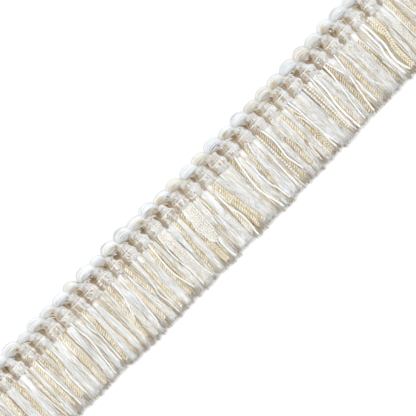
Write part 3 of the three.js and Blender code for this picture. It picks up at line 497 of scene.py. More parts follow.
# ---- Mesh making ----
class Yarns:
    """Gathers tubes and closed lumps, then writes them as one mesh."""

    def __init__(self):
        self.verts, self.faces, self.colours, self.seconds, self.lays, self.base = [], [], [], [], [], 0

    def tubes(self, path, radius, sides, colour, phase=0.0, flat=1.0, start=None, second=None, turns=0.0, spacing=1.0):
        """path (strands, points, 3), radius (strands, points), colour (strands, points, 3).

        turns and spacing lay the plies: how many pairs go round it, and their distance along it.
        """
        path = np.asarray(path, float)
        s, n, _ = path.shape
        u, v = frames(path, start)
        a = 2 * np.pi * np.arange(sides) / sides + np.broadcast_to(np.asarray(phase, float), (s,))[:, None]
        ring = (
            np.cos(a)[:, None, :, None] * u[:, :, None, :] + flat * np.sin(a)[:, None, :, None] * v[:, :, None, :]
        )
        pts = path[:, :, None, :] + np.broadcast_to(radius, (s, n))[:, :, None, None] * ring
        col = np.broadcast_to(colour, (s, n, 3))[:, :, None, :] * np.ones((1, 1, sides, 1))
        if second is not None:
            second = np.broadcast_to(second, (s, n, 3))[:, :, None, :] * np.ones((1, 1, sides, 1))
        self.add_grid(pts, col, True, second, turns, spacing)
        return u, v

    def add_grid(self, pts, col, caps, second=None, turns=0.0, spacing=1.0):
        """pts (strands, rings, sides, 3): rings of points joined into closed skins."""
        s, n, k, _ = pts.shape
        index = self.base + np.arange(s * n * k).reshape(s, n, k)
        nxt = np.roll(index, -1, axis=2)
        quads = np.stack([index[:, :-1], nxt[:, :-1], nxt[:, 1:], index[:, 1:]], -1)
        self.verts.append(pts.reshape(-1, 3))
        self.colours.append(col.reshape(-1, 3))
        # A strand given no second colour gets its own colour at 0.9: painted shade on alternate plies.
        self.seconds.append((col * 0.9 if second is None else second).reshape(-1, 3))
        self.lays.append((lengths(pts.mean(axis=2)) + rng.uniform(0, 9, (s, 1)), turns, spacing))
        self.faces.append((quads, index[:, 0, ::-1] if caps else None, index[:, -1] if caps else None))
        self.base += s * n * k

    def count(self):
        total = 0
        for quads, top, _ in self.faces:
            total += quads.shape[0] * quads.shape[1] * quads.shape[2] * 2
            if top is not None:
                total += 2 * top.shape[0] * (top.shape[1] - 2)
        return total

    def build(self, name):
        verts = np.concatenate(self.verts)
        verts[:, 0] -= MIDDLE[0]
        verts[:, 1] -= MIDDLE[1]
        verts *= MM
        colours = np.concatenate(self.colours)
        # One cell of the map for each strand, wide enough for its longest run of rings.
        cells = sum(q.shape[0] for q, _, _ in self.faces)
        longest = max(q.shape[1] for q, _, _ in self.faces)
        across = max(1, int(round(math.sqrt(cells * max(1.0, longest / 5)))))
        down = math.ceil(cells / across)
        loops, starts, totals, uvs, lays = [], [], [], [], []
        cell, loop_at = 0, 0
        for (quads, top, bottom), (along, turns, spacing) in zip(self.faces, self.lays):
            s, n, k, _ = quads.shape
            ids = cell + np.arange(s)
            x0, y0 = (ids % across) / across, (ids // across) / down
            w, h = 1 / across, 1 / down
            gu, gv = w * 0.12, h * 0.04
            j = np.arange(k)
            i = np.arange(n)
            left = x0[:, None] + gu + (w - 2 * gu) * (j / k)[None, :]
            right = x0[:, None] + gu + (w - 2 * gu) * ((j + 1) / k)[None, :]
            low = y0[:, None] + gv + (h - 2 * gv) * (i / n)[None, :]
            high = y0[:, None] + gv + (h - 2 * gv) * ((i + 1) / n)[None, :]
            uv = np.empty((s, n, k, 4, 2))
            uv[..., 0, 0], uv[..., 1, 0] = left[:, None, :], right[:, None, :]
            uv[..., 2, 0], uv[..., 3, 0] = right[:, None, :], left[:, None, :]
            uv[..., 0, 1] = uv[..., 1, 1] = low[:, :, None]
            uv[..., 2, 1] = uv[..., 3, 1] = high[:, :, None]
            lay = np.empty((s, n, k, 4, 3))
            first, last = along[:, :-1, None], along[:, 1:, None]
            for c, (far, round_it) in enumerate(((first, j), (first, j + 1), (last, j + 1), (last, j))):
                lay[..., c, 0] = turns * round_it / k + far / spacing
                lay[..., c, 1] = far
                lay[..., c, 2] = round_it / k
            loops.append(quads.reshape(-1))
            uvs.append(uv.reshape(-1, 2))
            lays.append(lay.reshape(-1, 3))
            count = s * n * k
            starts.append(loop_at + 4 * np.arange(count))
            totals.append(np.full(count, 4))
            loop_at += 4 * count
            if top is not None:
                for ring, at in ((top, 0.0), (bottom, 1.0)):
                    kk = ring.shape[1]
                    a = 2 * np.pi * np.arange(kk) / kk
                    cx = x0[:, None] + w / 2 + (w * 0.35) * np.cos(a)[None, :]
                    span = h / n * 0.5
                    cy = y0[:, None] + gv + (h - 2 * gv) * at + (span if at == 0 else -span) * (
                        0.5 + 0.45 * np.sin(a)[None, :]
                    )
                    loops.append(ring.reshape(-1))
                    uvs.append(np.stack([cx, cy], -1).reshape(-1, 2))
                    far = along[:, 0 if at == 0 else -1, None] + np.zeros((s, kk))
                    round_it = np.arange(kk)[None, :] / kk + np.zeros((s, kk))
                    lays.append(np.stack([turns * round_it + far / spacing, far, round_it], -1).reshape(-1, 3))
                    starts.append(loop_at + kk * np.arange(s))
                    totals.append(np.full(s, kk))
                    loop_at += kk * s
            cell += s
        mesh = bpy.data.meshes.new(name)
        loops = np.concatenate(loops).astype(np.int32)
        starts = np.concatenate(starts).astype(np.int32)
        mesh.vertices.add(len(verts))
        mesh.vertices.foreach_set("co", verts.astype(np.float32).ravel())
        mesh.loops.add(len(loops))
        mesh.loops.foreach_set("vertex_index", loops)
        mesh.polygons.add(len(starts))
        mesh.polygons.foreach_set("loop_start", starts)
        mesh.polygons.foreach_set("loop_total", np.concatenate(totals).astype(np.int32))
        mesh.polygons.foreach_set("use_smooth", np.ones(len(starts), bool))
        mesh.update(calc_edges=True)
        layer = mesh.attributes.new("tint", "FLOAT_COLOR", "POINT")
        layer.data.foreach_set("color", np.c_[colours, np.ones(len(colours))].astype(np.float32).ravel())
        layer = mesh.attributes.new("second", "FLOAT_COLOR", "POINT")
        seconds = np.concatenate(self.seconds)
        layer.data.foreach_set("color", np.c_[seconds, np.ones(len(seconds))].astype(np.float32).ravel())
        layer = mesh.attributes.new("lay", "FLOAT_VECTOR", "CORNER")
        layer.data.foreach_set("vector", np.concatenate(lays).astype(np.float32).ravel())
        uv_layer = mesh.uv_layers.new(name="OFBake", do_init=False)
        uv_layer.uv.foreach_set("vector", np.concatenate(uvs).astype(np.float32).ravel())
        mesh.validate()
        piece = bpy.data.objects.new(name, mesh)
        bpy.context.scene.collection.objects.link(piece)
        print(f"{name}: {cells} strands, {self.count()} triangles")
        return piece


def frames(path, start=None):
    """Two unit vectors square to each strand, carried along it without twist."""
    t = np.gradient(path, axis=1)
    t /= np.maximum(np.linalg.norm(t, axis=2, keepdims=True), 1e-9)
    u = np.empty_like(path)
    first = np.array([0.0, 0.0, 1.0]) if start is None else np.asarray(start, float)
    first = np.broadcast_to(first, t[:, 0].shape)
    side = np.cross(t[:, 0], first)
    side /= np.maximum(np.linalg.norm(side, axis=1, keepdims=True), 1e-9)
    u[:, 0] = side
    for i in range(1, path.shape[1]):
        w = u[:, i - 1] - (u[:, i - 1] * t[:, i]).sum(1, keepdims=True) * t[:, i]
        u[:, i] = w / np.maximum(np.linalg.norm(w, axis=1, keepdims=True), 1e-9)
    return u, np.cross(t, u)


def lengths(path):
    step = np.linalg.norm(np.diff(path, axis=1), axis=2)
    return np.concatenate([np.zeros((len(path), 1)), np.cumsum(step, axis=1)], axis=1)


def even(path, n):
    """The same curve with n points, evenly spaced along it."""
    out = np.empty((len(path), n, 3))
    for i, (p, s) in enumerate(zip(path, lengths(path))):
        at = np.linspace(0, s[-1], n)
        for k in range(3):
            out[i, :, k] = np.interp(at, s, p[:, k])
    return out


# ---- The skirt ----
def fall(points, n, lift, top_y=None, drop=0.0):
    """A strand's curve from its charted y, x pairs, on the skirt's surface plus lift."""
    ys = np.array([p[0] for p in points], float)
    xs = np.array([p[1] for p in points], float)
    y = np.linspace(ys[0], ys[-1], n)
    x = through(-ys, xs, -y)
    hang = np.clip((8.0 - y) / 26, 0, 1)
    z = surface(y) + lift - drop * hang**3
    return np.stack([x, y + stray(x) * (1 - hang), z], -1)


def tuck(z, t, depth, share=0.1):
    """Starts a strand below the surface, so that it comes out of the cloth."""
    return z - depth * np.clip(1 - t / share, 0, 1) ** 1.5


def floss_upper():
    """The charted sheaves: soft thick yarns over fine ones. Returns both as meshes to build."""
    fine, soft = Yarns(), Yarns()
    n = 10
    t = np.linspace(0, 1, n)
    for row in SHEAVES:
        ys = np.array([r[0] for r in row], float)
        lefts, rights = np.array([r[1] for r in row]), np.array([r[2] for r in row])
        wide = float(np.mean(rights - lefts))
        cut = reach_at(np.array([(lefts[-1] + rights[-1]) / 2]))[0] - 0.6
        to_edge = ys[-1] < -12.5
        if wide > 0.9:
            m = 14
            y = np.linspace(ys[0] - (0.1 if ys[0] > 5.4 else 1.2), (cut + 1.2) if to_edge else ys[-1] - 0.6, m)
            left, right = through(-ys, lefts, -np.clip(y, ys[-1], ys[0])), through(-ys, rights, -np.clip(y, ys[-1], ys[0]))
            half = (right - left) / 2
            z = surface(y) - 0.95 + np.minimum(half * 0.5, 0.65) * 0.25
            z = tuck(z, np.linspace(0, 1, m), 0.5 if ys[0] > 5.4 else 1.3)
            if not to_edge:
                z = tuck(z, np.linspace(1, 0, m), 1.2, 0.2)
            hang = np.clip((8.0 - y) / 26, 0, 1)
            x = (left + right) / 2
            body = np.stack([x, y + stray(x) * (1 - hang), z], -1)[None]
            # The sheaf's body under its strands is darkened to 0.83: painted shade between the strands.
            shade = mix(COOL, WARM, rng.uniform(0.2, 0.8)) * 0.83
            soft.tubes(
                body, (half * 0.96)[None], 12, np.broadcast_to(shade, (1, m, 3)),
                flat=float(0.5 / max(half.mean(), 0.5)),
            )  # fmt: skip
        for out, per_mm, extra, sides, sizes, top_layer in ((soft, 4.4, 2, 4, (0.13, 0.2), True), (fine, 9.0, 5, 3, (0.09, 0.13), False)):
            count = int(round(per_mm * wide + extra))
            s = np.clip(rng.uniform(-1.1, 1.1, count) + rng.normal(0, 0.04, count), -1.2, 1.2)
            layer = rng.random(count) * (0.35 if top_layer else 0.8)  # 0 on top
            tip = (max(ys[-1], cut + 1.5) if not to_edge else cut + 1.5) + rng.normal(0, 0.45, count)
            tip = tip - 1.0 * layer * (1 if to_edge else 0.2)
            top = ys[0] + rng.uniform(-0.1, 0.4, count) if ys[0] > 5.4 else ys[0] + rng.uniform(-1.5, 1.5, count)
            y = top[:, None] + (tip - top)[:, None] * t[None, :]
            flat_y = y.ravel()
            clipped = np.clip(flat_y, ys[-1], ys[0])
            left = through(-ys, lefts, -clipped).reshape(y.shape)
            right = through(-ys, rights, -clipped).reshape(y.shape)
            half = (right - left) / 2
            x = (left + right) / 2 + s[:, None] * half + wander(count, n, 0.16 if top_layer else 0.11, (0.5, 1.1, 2.1))
            crown = np.minimum(half * 0.42, 0.52)
            z = surface(flat_y).reshape(y.shape) - 0.25 + crown * (np.sqrt(np.maximum(0, 1 - (s * 0.83) ** 2))[:, None] - 0.75)
            z = z - 1.0 * layer[:, None] - (0 if top_layer else 0.1) + wander(count, n, 0.07, (1.1, 2.6))
            z = tuck(z, t[None, :], 0.35 if ys[0] > 5.4 else 1.3)
            z = np.maximum(z, 0.25)
            hang = np.clip((8.0 - y) / 26, 0, 1)
            path = np.stack([x, y + stray(x.ravel()).reshape(x.shape) * (1 - hang), z], -1)
            base = mix(COOL, WARM, np.clip(rng.normal(0.12, 0.22, count), 0, 1))
            warm = (rng.random(count) < 0.05)[:, None]
            base = np.where(warm, mix(WARM, CREAM, rng.uniform(0.5, 1.4, count).clip(0, 1)), base)
            dull = (rng.random(count) < 0.12)[:, None]
            base = np.where(dull, mix(CREAM, WARM, rng.uniform(0.0, 0.9, count)) * 0.93, base)
            base = base * rng.uniform(0.84, 1.04, count)[:, None]
            # Strands lower in the sheaf are darker: painted shade.
            colour = base[:, None, :] * (1 - 0.1 * layer)[:, None, None] * rng.uniform(0.93, 1.0, (count, n, 1))
            radius = rng.uniform(*sizes, count)[:, None] * (1 - 0.25 * (t[None, :] > 0.97))
            out.tubes(path, radius, sides, colour, phase=rng.uniform(0, 6, count))
    return fine, soft


def in_sheaf(x, y):
    """Whether each point lies within one of the charted sheaves."""
    inside = np.zeros(x.shape, bool)
    for row in SHEAVES:
        ys, lefts, rights = (np.array([r[k] for r in row], float) for k in range(3))
        flat = np.clip(y.ravel(), ys[-1], ys[0])
        left, right = through(-ys, lefts, -flat).reshape(x.shape), through(-ys, rights, -flat).reshape(x.shape)
        inside |= (x > left + 0.1) & (x < right - 0.1) & (y < ys[0] + 0.6) & (y > ys[-1] - 2.5)
    return inside


def bundle_strands(out, count, rise, sink, colours, radius, end, rough, n=8, split=False):
    """Loose strands across the whole width of each bundle of the skirt, one layer of it."""
    t = np.linspace(0, 1, n)
    for i in range(len(REACH)):
        s = rng.uniform(-1.04, 1.04, count)
        low = rng.random(count)  # 0 at the top of this layer
        a = np.array([GAP_ROOT[i], GAP_MID[i], GAP_TIP[i]])
        b = np.array([GAP_ROOT[i + 1], GAP_MID[i + 1], GAP_TIP[i + 1]])
        knots = np.array([-JOIN, 6.0, 19.0])
        top = JOIN + rng.uniform(-0.2, 0.4, count)
        tuft = 0.35 * np.sin(2 * np.pi * (s * rng.uniform(0.8, 1.6) + rng.random()))
        tip = REACH[i] + end + tuft + rng.normal(0, rough, count) + 0.9 * (1 - low) ** 2
        tip = np.maximum(tip, REACH[i] - 1.0)
        y = top[:, None] + (tip - top)[:, None] * t[None, :]
        mid = through(knots, (a + b) / 2, -y.ravel()).reshape(y.shape)
        half = through(knots, (b - a) / 2, -y.ravel()).reshape(y.shape)
        x = mid + s[:, None] * half + wander(count, n, 0.14, (0.7, 1.7))
        z = surface(y.ravel()).reshape(y.shape) * (rise - sink * low[:, None]) + 0.15
        under = in_sheaf(x, y) if split else np.zeros(x.shape, bool)
        z = z - 0.3 * under
        z = np.maximum(tuck(z, t[None, :], 0.4), 0.18)
        hang = np.clip((8.0 - y) / 26, 0, 1)
        path = np.stack([x, y + stray(x.ravel()).reshape(x.shape) * (1 - hang), z], -1)
        base, fade = colours(count)
        if split:
            white = mix(COOL, WARM, rng.uniform(0.0, 0.8, count)) * rng.uniform(0.88, 1.0, (count, 1))
            base = np.where(under.mean(axis=1)[:, None] > 0.5, white, base)
        # Painted shade: the last part of each strand is blended toward SHADE, the shade at the cut edge.
        dim = np.clip((t[None, :] - fade[0]) / (1 - fade[0]) * fade[1], 0, 1)[..., None]
        colour = base[:, None, :] * (1 - dim) + SHADE[None, None, :] * dim
        size = rng.uniform(*radius, count)[:, None] * np.ones((1, n))
        out.tubes(path, size, 3, colour, phase=rng.uniform(0, 6, count))


def floss_middle():
    """Fills the space between the charted sheaves, just under them."""
    out = Yarns()

    def colours(count):
        pick = rng.random(count)[:, None]
        base = np.where(pick < 0.32, mix(COOL, WARM, rng.uniform(0.0, 0.8, count)), mix(WARM, CREAM, rng.uniform(0.5, 1, count)))
        base = np.where(pick > 0.56, mix(CREAM, GOLD, rng.uniform(0.3, 1.1, count)), base)
        return base * rng.uniform(0.93, 1.07, (count, 1)), (0.97, 0.35)

    bundle_strands(out, 46, 0.96, 0.22, colours, (0.12, 0.18), 0.6, 0.35, split=True)
    return out


def floss_lower():
    """The deepest yarns, a little longer, warm in colour, which show at the cut edge, darkened there as painted shade.
    """
    out = Yarns()

    def colours(count):
        pick = rng.random(count)[:, None]
        base = np.where(pick < 0.5, mix(CREAM, GOLD, rng.uniform(0.4, 1.2, count)), mix(WARM, TAN, rng.uniform(0.1, 0.7, count)))
        return base * rng.uniform(1.0, 1.14, (count, 1)) * np.array([1.01, 1.0, 0.97]), (0.93, 1.2)

    bundle_strands(out, 46, 0.78, 0.45, colours, (0.16, 0.22), 0.0, 0.42)
    return out


def hairs():
    """Short loose fibres that cross the sheaves and soften them."""
    out = Yarns()
    count, n = 2500, 6
    t = np.linspace(0, 1, n)[None, :]
    x0 = rng.uniform(FAR_LEFT + 1, FAR_RIGHT - 1, (count, 1))
    y0 = rng.uniform(-15.5, 6.6, (count, 1))
    long = rng.uniform(1.6, 4.6, (count, 1))
    lean = rng.normal(0, 0.2, (count, 1))
    y = np.maximum(y0 - long * t * np.cos(lean), -17.6)
    x = x0 + long * t * np.sin(lean) + rng.normal(0, 0.2, (count, 1)) * np.sin(np.pi * t * rng.uniform(0.6, 2.6, (count, 1)))
    z = surface(y.ravel()).reshape(y.shape) + rng.uniform(-0.3, 0.45, (count, 1)) + 0.25 * np.sin(np.pi * t) - 0.1
    hang = np.clip((8.0 - y) / 26, 0, 1)
    path = np.stack([np.clip(x, FAR_LEFT + 0.3, FAR_RIGHT - 0.3), y + stray(x.ravel()).reshape(x.shape) * (1 - hang), z], -1)
    base = mix(COOL, WARM, rng.random(count)) * rng.uniform(0.9, 1.06, (count, 1))
    cream = (rng.random(count) < 0.24)[:, None]
    base = np.where(cream, mix(CREAM, GOLD, rng.uniform(0, 0.9, count)), base)
    out.tubes(path, rng.uniform(0.06, 0.1, count)[:, None] * np.ones((1, n)), 3, base[:, None, :] * np.ones((1, n, 1)), phase=rng.uniform(0, 6, count))
    return out


def flecks(n, size, step):
    """Random numbers down a strand, from 0 to 1, that hold for about size millimetres."""
    few = max(3, int(n * step / size) + 2)
    return np.interp(np.linspace(0, few - 1, n), np.arange(few), rng.random(few))


def laid(out, centre, wide, light, dark, hand=1, thick=0.62, sides=8, step=0.4, spacing=1.05, pairs=None):
    """One cord along centre (points, 3): a skin that carries the lay of its light and dark plies."""
    n = max(8, int(lengths(centre[None])[0, -1] / step))
    path = even(centre[None], n)
    pairs = max(1, round(2 * wide / spacing)) if pairs is None else pairs
    swell = 1 + 0.07 * (flecks(n, 1.4, step) - 0.5)[None, :]
    fade = (1 - 0.06 * flecks(n, 1.0, step))[None, :, None]
    worn = np.clip(flecks(n, 1.1, step) * 1.5 - 0.7, 0, 0.6)[None, :, None]
    light, dark = light * 0.97, dark * 0.955
    dark = dark * (1 - worn) + light * worn
    ends = 1 - 0.3 * (np.linspace(0, 1, n)[None] > 0.985)
    out.tubes(
        path, wide / 2 * swell * ends, sides, light * fade, flat=thick, second=dark * fade, turns=pairs * hand,
        spacing=spacing,
    )  # fmt: skip


def bright_cords():
    out = Yarns()
    for wide, *points in BRIGHT:
        wide = wide * 0.92
        lift = wide * 0.16
        centre = fall(points, 60, lift, drop=0.35)
        t = np.linspace(0, 1, 60)
        if points[0][0] < 6.2:  # rises from among the sheaves
            centre[:, 2] = tuck(centre[:, 2], t, 1.4, 0.14)
        else:
            centre[:, 2] = tuck(centre[:, 2], t, 0.4, 0.06)
        if points[-1][0] > -14:  # goes back in among them
            centre[:, 2] = tuck(centre[:, 2], t[::-1], 1.5, 0.16)
        centre[:, 0] += wander(1, 60, 0.08, (2, 4, 7))[0]
        shade = WHITE * rng.uniform(0.93, 0.98)
        # The second ply is the same white at 0.93: painted shade on alternate plies.
        laid(out, centre, wide, shade, shade * 0.93, thick=0.8, sides=6, step=0.36, spacing=1.2 + wide * 0.5, pairs=1)
    return out


def cord_colours(depth):
    """The light and the dark plies of a cord."""
    dim = max(0.0, depth - 0.5) * 0.14
    light = mix(WARM, CREAM, 0.1 + 0.5 * depth) * (1.0 - 0.03 * depth - dim) * np.array([0.985, 0.985, 0.955])
    dark = mix(CREAM, GOLD, 0.45 + depth) if depth < 0.5 else mix(GOLD, DEEP, (depth - 0.5) * 1.8)
    return light, dark * (0.96 - 0.1 * depth - dim) * np.array([0.98, 0.975, 0.92])


def under_binding(points):
    """The part of a skirt cord that shows in the lower row of the heading, above the join."""
    y0, x0 = points[0]
    slope = (points[1][1] - x0) / (points[1][0] - y0)
    lean = np.clip(slope * 2.0, -0.5, 0.5)
    m = 16
    y = np.linspace(10.1, y0 - 0.4, m)
    x = x0 + lean * (y - y0) / 3.6
    z = np.maximum(bundle_height(x, y) - 0.12, np.interp(y, [6.9, 7.5, 8.4, 9.6, 10.2], [1.9, 1.7, 2.0, 1.9, 1.2]))
    t = np.linspace(0, 1, m)
    z = tuck(tuck(z, t, 0.9, 0.15), t[::-1], 0.5, 0.12)
    return np.stack([x, y + stray(x), z], -1)


def plied_cords():
    out = Yarns()
    for depth, wide, *points in PLIED:
        lift = wide * 0.05 - (0.4 if wide < 1.0 else 0.1)
        centre = fall(points, 60, lift, drop=0.3)
        t = np.linspace(0, 1, 60)
        centre[:, 2] = tuck(centre[:, 2], t, 0.5, 0.08)
        if points[-1][0] > -14:
            centre[:, 2] = tuck(centre[:, 2], t[::-1], 1.4, 0.16)
        centre[:, 0] += wander(1, 60, 0.08, (2, 5))[0]
        light, dark = cord_colours(depth)
        laid(out, centre, wide * 1.06, light, dark, hand=-1, sides=8)
        if points[0][0] >= 6.7 and wide >= 1.2:
            laid(
                out, under_binding(points), wide * 0.95, light * 0.3 + STONE * 0.6, dark * 0.4 + TAN * 0.5, hand=-1,
                sides=8, spacing=0.9,
            )  # fmt: skip
    for depth, wide, *points in CHAINED:
        light, dark = cord_colours(depth)
        for side, hand in ((-1, -1), (1, 1)):
            shifted = [(y, x + side * wide * 0.24) for y, x in points]
            centre = fall(shifted, 60, wide * 0.05, drop=0.3)
            centre[:, 2] = tuck(centre[:, 2], np.linspace(0, 1, 60), 1.0, 0.1)
            laid(out, centre, wide * 0.56, light, dark, hand=hand, sides=8)
    return out


def wobbled(points, m, lift, beat, bend):
    centre = fall(points, m, lift, drop=0.3)
    s = lengths(centre[None])[0]
    a = 2 * np.pi * s / beat + rng.uniform(0, 6)
    centre[:, 0] += bend * np.sin(a) + wander(1, m, 0.08, (2, 5))[0]
    centre[:, 2] += bend * 0.5 * np.cos(a)
    t = np.linspace(0, 1, m)
    centre[:, 2] = tuck(centre[:, 2], t, 0.5 if points[0][0] > 5.4 else 1.3, 0.08)
    if points[-1][0] > -14:
        centre[:, 2] = tuck(centre[:, 2], t[::-1], 1.4, 0.12)
    return centre


def crinkled_yarns():
    out = Yarns()
    for depth, wide, strands, *points in CRINKLED:
        strands = max(1, round(wide / 0.78))
        for k in range(strands):
            side = (k + 0.5) / strands * 2 - 1
            shifted = [(y, x + side * (wide / 2 - 0.3)) for y, x in points]
            centre = wobbled(shifted, 160, rng.uniform(-0.25, 0.05), rng.uniform(1.9, 2.8), rng.uniform(0.1, 0.2))
            hue = mix(COOL, WARM, rng.random()) * rng.uniform(0.95, 1.0)
            # The second ply is a warmer cream, darkened: partly its own colour, partly painted shade on alternate
            # plies.
            second = mix(WARM, mix(CREAM, GOLD, 0.3 + depth), rng.uniform(0.4, 1.0)) * rng.uniform(0.78, 0.88)
            laid(out, centre, 0.95, hue, second, hand=1 if k % 2 else -1, sides=7, step=0.32, spacing=rng.uniform(0.85, 1.1), pairs=2)
    for depth, wide, *points in BEADED:
        centre = fall(points, 120, wide * 0.05, drop=0.3)
        t = np.linspace(0, 1, 120)
        centre[:, 2] = tuck(centre[:, 2], t, 0.6, 0.08)
        if points[-1][0] > -14:
            centre[:, 2] = tuck(centre[:, 2], t[::-1], 1.4, 0.12)
        n = int(lengths(centre[None])[0, -1] / 0.16)
        path = even(centre[None], n)
        s = lengths(path)
        pulse = np.abs(np.sin(np.pi * s / 1.15 + rng.uniform(0, 3)))
        path[..., 0] += 0.12 * np.sin(np.pi * s / 1.15)
        # The narrow parts between beads are tan and the swellings pale: partly the yarn's own colour, partly painted
        # shade between the beads.
        colour = mix(TAN, WARM, np.clip(pulse * 1.5, 0, 1)) * (1 - 0.1 * depth)
        out.tubes(path, wide / 2 * (0.5 + 0.5 * pulse), 6, colour)
    # The scalloped chunk: crimped cords side by side, the outer one a fat scalloped edge.
    ys, lefts, rights = np.array(CHUNK).T
    lanes = 6
    for k in range(lanes):
        share = (k + 0.35) / lanes
        y = np.linspace(ys[0] - 0.1, ys[-1] + 0.4 + (1.6 * share if k else 0.0), 90)
        left, right = through(-ys, lefts, -y), through(-ys, rights, -y)
        x = left + (right - left) * share
        bulge = math.sin(math.pi * min(0.95, share + 0.15))
        z = surface(y) + 0.05 + 0.35 * bulge + wander(1, 90, 0.05, (3, 6))[0]
        s = np.linspace(0, 1, 90)
        z = tuck(tuck(z, s, 0.5, 0.06), s[::-1], 0.9, 0.08)
        x = x + (0.22 if k == 0 else 0.08) * np.sin(2 * np.pi * y / 1.45 + k)
        centre = np.stack([x, y + stray(x), z], -1)
        if k == 0:
            # The outer cord's second ply is the same white, darker: painted shade on alternate plies.
            laid(out, centre, 1.15, WHITE * 0.97, WHITE * 0.88, hand=1, sides=8, step=0.3, spacing=1.2, pairs=2)
        else:
            # The second ply is a warmer cream or gold, darkened: partly its own colour, partly painted shade on
            # alternate plies.
            dark = mix(WARM, CREAM if k % 2 else GOLD, rng.uniform(0.3, 0.7)) * 0.82
            laid(out, centre, 1.0, mix(COOL, WARM, rng.random()) * 0.97, dark, hand=1 if k % 2 else -1, sides=8, step=0.34, spacing=1.1, pairs=2)
    return out


# ---- The heading ----
def hollow(i):
    return HOLLOW.get(GAP_ROOT[i], HOLLOW[0])


def barrel(i, y):
    """Bundle i's left edge, right edge, crown height and foot height at each y."""
    rows = np.array(BARREL)[::-1]
    y = np.clip(y, rows[0, 0], rows[-1, 0])
    low, wide, shift, crown, foot = (through(rows[:, 0], rows[:, k], y) for k in (1, 2, 3, 4, 5))
    low = np.clip(low, 0, 1)
    edges = []
    for at, side in ((i, 1), (i + 1, -1)):
        a = hollow(at)
        middle = (a[0] + a[1]) / 2 * (1 - low) + (a[2] + a[3]) / 2 * low
        half = (a[1] - a[0]) / 2 * (1 - low) + (a[3] - a[2]) / 2 * low
        edges.append(GAP_ROOT[at] + middle + shift + side * half * wide)
    return edges[0], edges[1], crown, foot


def over(q):
    """Rise of a bundle's round back from its edge to its crown, at q from -1 to 1 across it."""
    return np.sqrt(np.maximum(0, 1 - np.abs(q) ** 2.6)) * (0.94 + 0.06 * q)


def bundle_height(x, y):
    """Height of the heading's surface at points x, y (flat arrays)."""
    gaps = np.array(GAP_ROOT)
    index = np.clip(np.searchsorted(gaps, x) - 1, 0, len(gaps) - 2)
    z = np.full(len(x), 0.85)
    for i in np.unique(index):
        at = index == i
        for j in (i - 1, i, i + 1):
            if 0 <= j < len(gaps) - 1:
                left, right, crown, foot = barrel(j, y[at])
                q = (2 * x[at] - left - right) / (right - left)
                z[at] = np.maximum(z[at], np.where(np.abs(q) < 1, foot + (crown - foot) * over(q), foot - 0.1))
    return z


